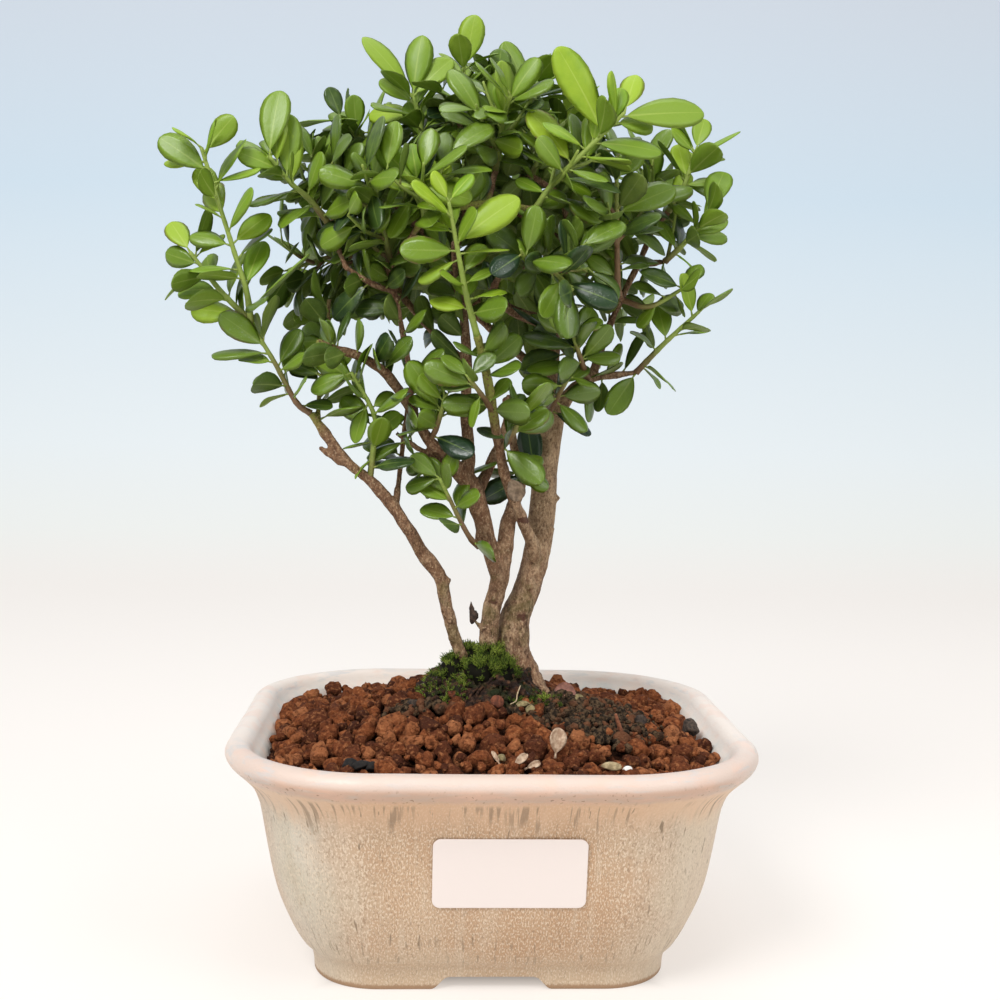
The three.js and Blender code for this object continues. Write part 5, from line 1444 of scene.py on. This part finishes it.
def fine_leaf(parts, leaf, random, young=0.0, curl=None, grid=FINE):
    curl = (0.5 * (random() - 0.62)) if curl is None else curl
    twist, wave, phase, tone = 0.5 * (random() - 0.5), 0.35 * random(), random() * 6.3, random()
    out, half, line, side, up = blade_places(leaf, grid.along, grid.notched, twist)
    arch = 0.14 * (random() - 0.35) * leaf["length"] * grid.along**2
    line = line - arch[:, None] * leaf["normal"]
    across, columns = grid.across, len(grid.across)
    bend = across[None] ** 2 * half[:, None] * curl
    bend = bend + wave * 0.8 * across[None] * np.sin(grid.along * 7 + phase)[:, None]
    groove = -0.16 * np.exp(-(np.abs(across) / 0.12)) * (1 - grid.along[:, None] * 0.7)
    pillow = 0.11 * (1 - (2 * np.abs(np.abs(across) - 0.5)) ** 2) * np.minimum(half[:, None] / 3, 1)
    thick = 0.15 * (1 - across**2)[None] * np.minimum(half[:, None], 1)
    ground = line[:, None] + side[:, None] * (across[None] * half[:, None])[..., None]
    top = ground + up[:, None] * (bend + groove + pillow + thick)[..., None]
    low = ground + up[:, None] * (bend + groove * 1.5 + pillow - thick)[..., None]
    count = grid.rings * columns
    inner = np.arange(count).reshape(grid.rings, columns)
    under = inner + count
    under[:, 0], under[:, -1] = inner[:, 0], inner[:, -1]
    under[0], under[-1] = inner[0], inner[-1]
    below = under.ravel()[grid.faces][:, ::-1]
    slot = np.repeat([0, 1], len(grid.faces))
    values = dict(u=np.tile(np.repeat(out, columns), 2), v=np.tile((across[None] * half[:, None]).ravel(), 2),
                  edge=np.tile(np.abs(across), 2 * grid.rings), young=young, tone=tone, long=leaf["length"])
    parts.add(np.concatenate([top.reshape(-1, 3), low.reshape(-1, 3)]), [np.concatenate([grid.faces, below])],
              slot, **values)
    bar = np.array([leaf["root"] - leaf["along"] * 0.2, line[1] - up[1] * 0.1])
    parts.add(*tube(bar, np.array([0.42, 0.2]), 4), slot=2, young=0.45 + 0.5 * young, tone=tone)


PROXY_ALONG = np.array([0.06, 0.3, 0.55, 0.8, 0.97])
PROXY_OUTLINE = blade_outline(PROXY_ALONG)
PROXY_FACES = [tuple(f) for f in grid_faces(5, 3)]


class Crowd:
    """Knows the blades and bars grown so far, and tells whether a new blade crosses one of them."""

    def __init__(self):
        self.lows, self.highs, self.trees, self.owners = [], [], [], []

    def put(self, places, faces, owner=None):
        self.lows.append(places.min(0))
        self.highs.append(places.max(0))
        self.trees.append(BVHTree.FromPolygons([tuple(p) for p in places], faces))
        self.owners.append(owner)

    def blade(self, leaf):
        _, half, line, side, up = blade_places(leaf, PROXY_ALONG, PROXY_OUTLINE)
        grid = line[:, None] + side[:, None] * (np.array([-1, 0, 1])[None] * half[:, None])[..., None]
        return grid.reshape(-1, 3)

    def clear(self, places, owner=None):
        low, high = places.min(0), places.max(0)
        near = np.where((np.array(self.lows) < high).all(1) & (np.array(self.highs) > low).all(1))[0]
        if not len(near):
            return True
        own = BVHTree.FromPolygons([tuple(p) for p in places], PROXY_FACES)
        return not any(self.trees[i].overlap(own) for i in near if owner is None or self.owners[i] != owner)


TRIES = [(0, 1), (16, 1), (-16, 1), (32, 0.96), (-32, 0.96), (50, 0.92), (-50, 0.92), (70, 0.88), (-70, 0.88)]


def fitted(crowd, leaf, owner, must=False):
    """The leaf turned and shortened until it crosses nothing, or None. One that must grow keeps its size."""
    for degrees, size in TRIES[:3] if must else TRIES:
        tried = dict(leaf, along=spun(leaf["along"], leaf["normal"], degrees), length=leaf["length"] * size,
                     width=leaf["width"] * size)
        places = crowd.blade(tried)
        if crowd.clear(places, owner):
            crowd.put(places, PROXY_FACES)
            return tried
    if not must:
        return None
    crowd.put(crowd.blade(leaf), PROXY_FACES)
    return leaf


IN_VIEW = (  # bare lengths of branches that no further leaf hides from the front, and how far in front
    ([[4, -13.6, 126], [1, -18.6, 137], [-3, -26.6, 156], [-6, -30.6, 167], [-9, -33.6, 177]], 40),
    ([[14, 0.2, 114], [15, 1.2, 122], [15.4, 2.5, 133], [17.6, 4.7, 147], [16.4, 7, 153]], 60),
    ([[-6.4, -13, 127], [-8, -11.8, 134]], 40),
    ([[9, -22, 201], [14, -25, 208], [23, -29, 217]], 30),
    ([[33, -12, 181], [32, -15, 194], [31, -18, 206]], 30),
    ([[-50, -17, 146], [-54, -17, 149], [-60, -18, 160], [-67, -18, 171]], 20),
)


# Shoots that grow less than the rest: their names, how many further leaves and how many spurs

GROWTH = (
    ({"front_low", "trunk_front", "hang_left", "mid_left_low", "trunk_low", "low_mid_left"}, 6, 0),
    ({"left_high", "left_low"}, 11, 0),
    ({"left_fork", "front_high"}, 8, 0),
    ({"low_right", "low_right_upper", "far_right", "low_mid_right", "right_back", "crown_mid", "crown_right",
      "crown_right_mid", "crown_left"}, 8, 2),
)
FULL_GROWTH = (10, 5)
FURTHER = {"least": 11, "spread": 5, "outward": 1.3, "lift": 0.4, "roll": 60}
INNER = {"least": 9.5, "spread": 5, "outward": 1.2, "lift": 0.4, "roll": 70}
INNER_TWIGS = {"above": 148, "left_above": 128, "slim": 1.25, "thickest": 1.7, "shortest": 3}
SPUR = {"from": 10, "spread": 8, "leaves": 6, "fewest": 3}
SPARSE = {"right_of": 24, "under": 192, "leaves": 0.75, "spurs": 0.8, "inner": 0.6}
REACH = {"spur": 1.06, "leaf": 1.12, "lowest": 146}


def left_out(point, share, random):
    """Low on the right the crown lets the light through: a share of what would grow there is left out."""
    return point[0] > SPARSE["right_of"] and point[2] < SPARSE["under"] and random() < share


def outside_crown(point):
    """How far out a place is, 1 on the crown's rounded outline."""
    return np.linalg.norm((point - CROWN["middle"]) / CROWN["reach"])


def fill_crowd(crowd, shoots):
    """Puts in the wood, the shoots with their listed leaves, and the bare lengths in view."""
    for bends in wood_bars:
        bends = np.array(bends)
        places, _ = tube(bends[:, :3], bends[:, 3] * 0.9, 5)
        crowd.put(places, [tuple(f) for f in grid_faces(len(bends), 5, closed=True)])
    for shoot in shoots:
        count = len(shoot["path"])
        places, _ = tube(np.array(shoot["path"]), np.full(count, 0.6), 4)
        crowd.put(places, [tuple(f) for f in grid_faces(count, 4, closed=True)], shoot["name"])
    for shoot in shoots:
        found = [fitted(crowd, leaf, shoot["name"], must=True) for leaf in shoot["leaves"]]
        shoot["grown"] = [(leaf, shoot["young"]) for leaf in found]
    for bends, depth in IN_VIEW:
        bends = np.array(bends, float)
        places = np.concatenate([bends, bends - (0, depth, 0)])
        crowd.put(places, [tuple(f) for f in grid_faces(2, len(bends))])


def add_further_leaves(crowd, shoot, count, random):
    for order in range(count):
        share = 0.08 + 0.9 * (order + random()) / count
        leaf = ruled_leaf(shoot["path"], share, order + 2, random, **FURTHER)
        if not left_out(leaf["root"], SPARSE["leaves"], random):
            leaf = fitted(crowd, leaf, shoot["name"])
            if leaf:
                shoot["grown"].append((leaf, shoot["young"] * (0.4 + 0.6 * share)))


def add_spurs(crowd, shoot, count, random):
    """Short side twigs with leaves. One that finds room for fewer than three leaves doesn't grow."""
    for spur in range(count):
        share = 0.05 + 0.75 * (spur + random()) / FULL_GROWTH[1]
        start, twig = point_on(shoot["path"], share)
        around = spun(upright(twig, (0.2, 0.9, 0.3)), twig, spur * 137.5 + 60 * random())
        outward = unit((start - CROWN["middle"]) / CROWN["reach"])
        way = unit(around * 0.9 + twig * 0.5 + outward * 0.35 + (0, 0, 0.25))
        long = SPUR["from"] + SPUR["spread"] * random()
        middle = start + way * long * 0.5
        path = [start, middle, middle + unit(way + (0, 0, 0.35)) * long * 0.5]
        if outside_crown(path[-1]) > REACH["spur"] or path[-1][2] < REACH["lowest"]:
            continue
        if left_out(path[-1], SPARSE["spurs"], random):
            continue
        grown = []
        for order in range(SPUR["leaves"]):
            share = 0.3 + 0.7 * order / (SPUR["leaves"] - 1)
            leaf = ruled_leaf(path, share, order, random, **FURTHER)
            if outside_crown(leaf["root"] + leaf["along"] * leaf["length"]) > REACH["leaf"]:
                continue
            leaf = fitted(crowd, leaf, shoot["name"])
            if leaf:
                grown.append((leaf, shoot["young"] * 0.8 * random()))
        if len(grown) >= SPUR["fewest"]:
            shoot["grown"] += grown
            shoot["twigs"].append((path, 0.6, 0.35))


def build_shoot(shoot, members, materials):
    """One piece of a shoot and those that fork from it."""
    parts = Parts()
    random = seeded(3000 + len(shoot["name"]) * 17 + len(shoot["leaves"]))
    for member in members:
        for path, start, end in member["twigs"]:
            places, sizes = smooth_path([*path], np.linspace(start, end, len(path)), 1.1)
            sizes = sizes * (1 + 0.10 * (np.arange(len(sizes)) % 4 == 0))
            green = np.linspace(0.15, 0.75, len(places)) + (member["young"] - 0.4)
            green = np.concatenate([np.repeat(green, 7), green[:1], green[-1:]])
            parts.add(*tube(places, sizes, 7), slot=2, young=green, tone=random())
        for number, (leaf, young) in enumerate(member["grown"]):
            share = min(1.0, max(0.0, young + 0.5 * (random() - 0.5)))
            grid = FINE if number < len(member["leaves"]) else LIGHT
            fine_leaf(parts, leaf, random, young=share, grid=grid)
    ready(parts.build(f"leaves_{shoot['name']}", materials), "leaves", f"shoot_{shoot['name']}")


def build_inner_leaves(crowd, materials):
    """Leaves on the wood's own thin twigs, in the shade of the crown."""
    random = seeded(4040)
    inner = Parts()
    for turn in range(4):
        for a, b in [pair for bends in wood_bars for pair in zip(bends, bends[1:])]:
            a, b = np.array(a), np.array(b)
            thickness = max(a[3], b[3])
            on_left = a[0] < 0 and thickness < INNER_TWIGS["slim"]
            if min(a[2], b[2]) < INNER_TWIGS["left_above" if on_left else "above"]:
                continue
            too_short = np.linalg.norm(b[:3] - a[:3]) < INNER_TWIGS["shortest"]
            if too_short or thickness > INNER_TWIGS["thickest"]:
                continue
            share = random()
            order = turn * 2 + int(random() * 5)
            leaf = ruled_leaf([a[:3], b[:3]], share, order, random, **INNER)
            if left_out(leaf["root"], SPARSE["inner"], random):
                continue
            leaf = fitted(crowd, leaf, None)
            if leaf:
                fine_leaf(inner, leaf, random, young=0.05 + 0.35 * random(), grid=LIGHT)
    ready(inner.build("leaves_inner", materials), "leaves")


def build_shoots():
    shoots = grow_shoots()
    crowd = Crowd()
    fill_crowd(crowd, shoots)
    for index, shoot in enumerate(shoots):
        random = seeded(2000 + index)
        named = [counts for names, *counts in GROWTH if shoot["name"] in names]
        leaves, spurs = named[0] if named else FULL_GROWTH
        add_further_leaves(crowd, shoot, leaves, random)
        add_spurs(crowd, shoot, spurs, random)
    materials = [leaf_material("top"), leaf_material("underside"), twig_material()]
    for shoot in shoots:
        if not shoot["joins"]:
            members = [other for other in shoots if other is shoot or other["joins"] == shoot["name"]]
            build_shoot(shoot, members, materials)
    build_inner_leaves(crowd, materials)


# The room, the light and the camera


def build_room():
    wall = Parts()
    profile = [(-900.0, 0.0), (300, 0), (700, 0)]
    profile += [(700 + 300 * math.sin(t), 300 - 300 * math.cos(t)) for t in np.linspace(0.1, math.pi / 2, 16)]
    profile += [(1000, 1400)]
    rows = [[(x, y, z - 0.05) for x in (-1600, 1600)] for y, z in profile]
    wall.add(np.array(rows).reshape(-1, 3), [grid_faces(len(rows), 2)])
    s = Shader("backdrop")
    color = s.ramp(s.z / 900, (0.0, srgb(247, 241, 235)), (0.04, srgb(242, 243, 239)),
                   (0.12, srgb(236, 242, 244)), (0.4, srgb(211, 227, 239)), (0.9, srgb(216, 214, 221)))
    shaded = s.vector("MULTIPLY", color, (0.42, 0.42, 0.42))
    # the floor doesn't glow in the shade under the pot
    out = s.math("MAXIMUM", abs(s.x), abs(s.y))
    glow = s.step(out, 30, 47) * 0.62
    room = wall.build("room_backdrop", [s.finish(shaded, 0.9, Specular_IOR_Level=0.1, Emission_Color=color,
                                                 Emission_Strength=glow)])
    room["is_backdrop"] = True
    world = bpy.data.worlds.new("studio")
    bpy.context.scene.world = world
    world.use_nodes = True
    world.node_tree.nodes["Background"].inputs[0].default_value = (0.86, 0.93, 1.0, 1)
    world.node_tree.nodes["Background"].inputs[1].default_value = 0.42


def area_light(name, place, target, size, power, color=(1, 1, 1)):
    data = bpy.data.lights.new(name, "AREA")
    data.shape, data.size, data.energy, data.color = "DISK", size * MM, power, color
    light = bpy.data.objects.new(name, data)
    bpy.context.scene.collection.objects.link(light)
    place, target = (np.array(place) + POT_MIDDLE) * MM, (np.array(target) + POT_MIDDLE) * MM
    light.location = place
    light.rotation_euler = Vector(target - place).to_track_quat("-Z", "Y").to_euler()


def build_light():
    area_light("key", (-380, -560, 760), (0, 0, 110), 460, 7.5)
    area_light("fill", (520, -420, 520), (0, 0, 120), 520, 2.2)
    area_light("top", (60, 120, 900), (0, 0, 150), 600, 2.2)


CAMERA = {"place": (2.2, -395, 149), "pitch": 3.86, "roll": 1.08, "pot_turn": 2.89, "lens": 50.4}


def build_camera():
    """The camera that the photo was taken with, found from the pot's outline."""
    pitch, roll = math.radians(CAMERA["pitch"]), math.radians(CAMERA["roll"])
    forward = np.array([0, math.cos(pitch), -math.sin(pitch)])
    level, raised = np.array([1.0, 0, 0]), np.array([0, math.sin(pitch), math.cos(pitch)])
    right = level * math.cos(roll) + raised * math.sin(roll)
    up = -level * math.sin(roll) + raised * math.cos(roll)
    about = np.array([0, 0, 1.0])
    right, up, forward, place = (spun(np.array(v, float), about, -CAMERA["pot_turn"])
                                 for v in (right, up, forward, CAMERA["place"]))
    place = (place + POT_MIDDLE) * MM
    data = bpy.data.cameras.new("camera")
    data.lens, data.sensor_width = CAMERA["lens"], 36
    data.clip_start, data.clip_end = 0.01, 20
    camera = bpy.data.objects.new("camera", data)
    bpy.context.scene.collection.objects.link(camera)
    camera.matrix_world = Matrix.Translation(place) @ Matrix((right, up, -forward)).transposed().to_4x4()
    bpy.context.scene.camera = camera


def shown_bounds():
    """The box of everything shown that belongs to the object."""
    low, high = np.full(3, 1e9), np.full(3, -1e9)
    for piece in bpy.data.objects:
        if piece.type == "MESH" and not piece.hide_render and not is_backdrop(piece):
            places = np.empty(len(piece.data.vertices) * 3, np.float32)
            piece.data.vertices.foreach_get("co", places)
            places = places.reshape(-1, 3)
            low, high = np.minimum(low, places.min(0)), np.maximum(high, places.max(0))
    return [float(v) for v in low], [float(v) for v in high]


build_pot()
build_label()
build_soil()
build_root_ball()
build_moss()
build_shoots()
build_wood()
build_soil_finds()
for name in ("drain_mesh_left", "drain_mesh_right"):
    materials = frame["nodes"][name].data.materials
    materials.clear()
    materials.append(plain_material(name + "_plastic", (30, 34, 36), (44, 48, 50), 2.0, 0.55))
build_room()
build_light()
build_camera()
view = bpy.context.scene.view_settings
view.view_transform, view.look, view.exposure, view.gamma = "Standard", "None", 0.0, 1.0

{"cad": [list(map(float, c)) for c in cad_bounds], "visual": [list(c) for c in shown_bounds()]}
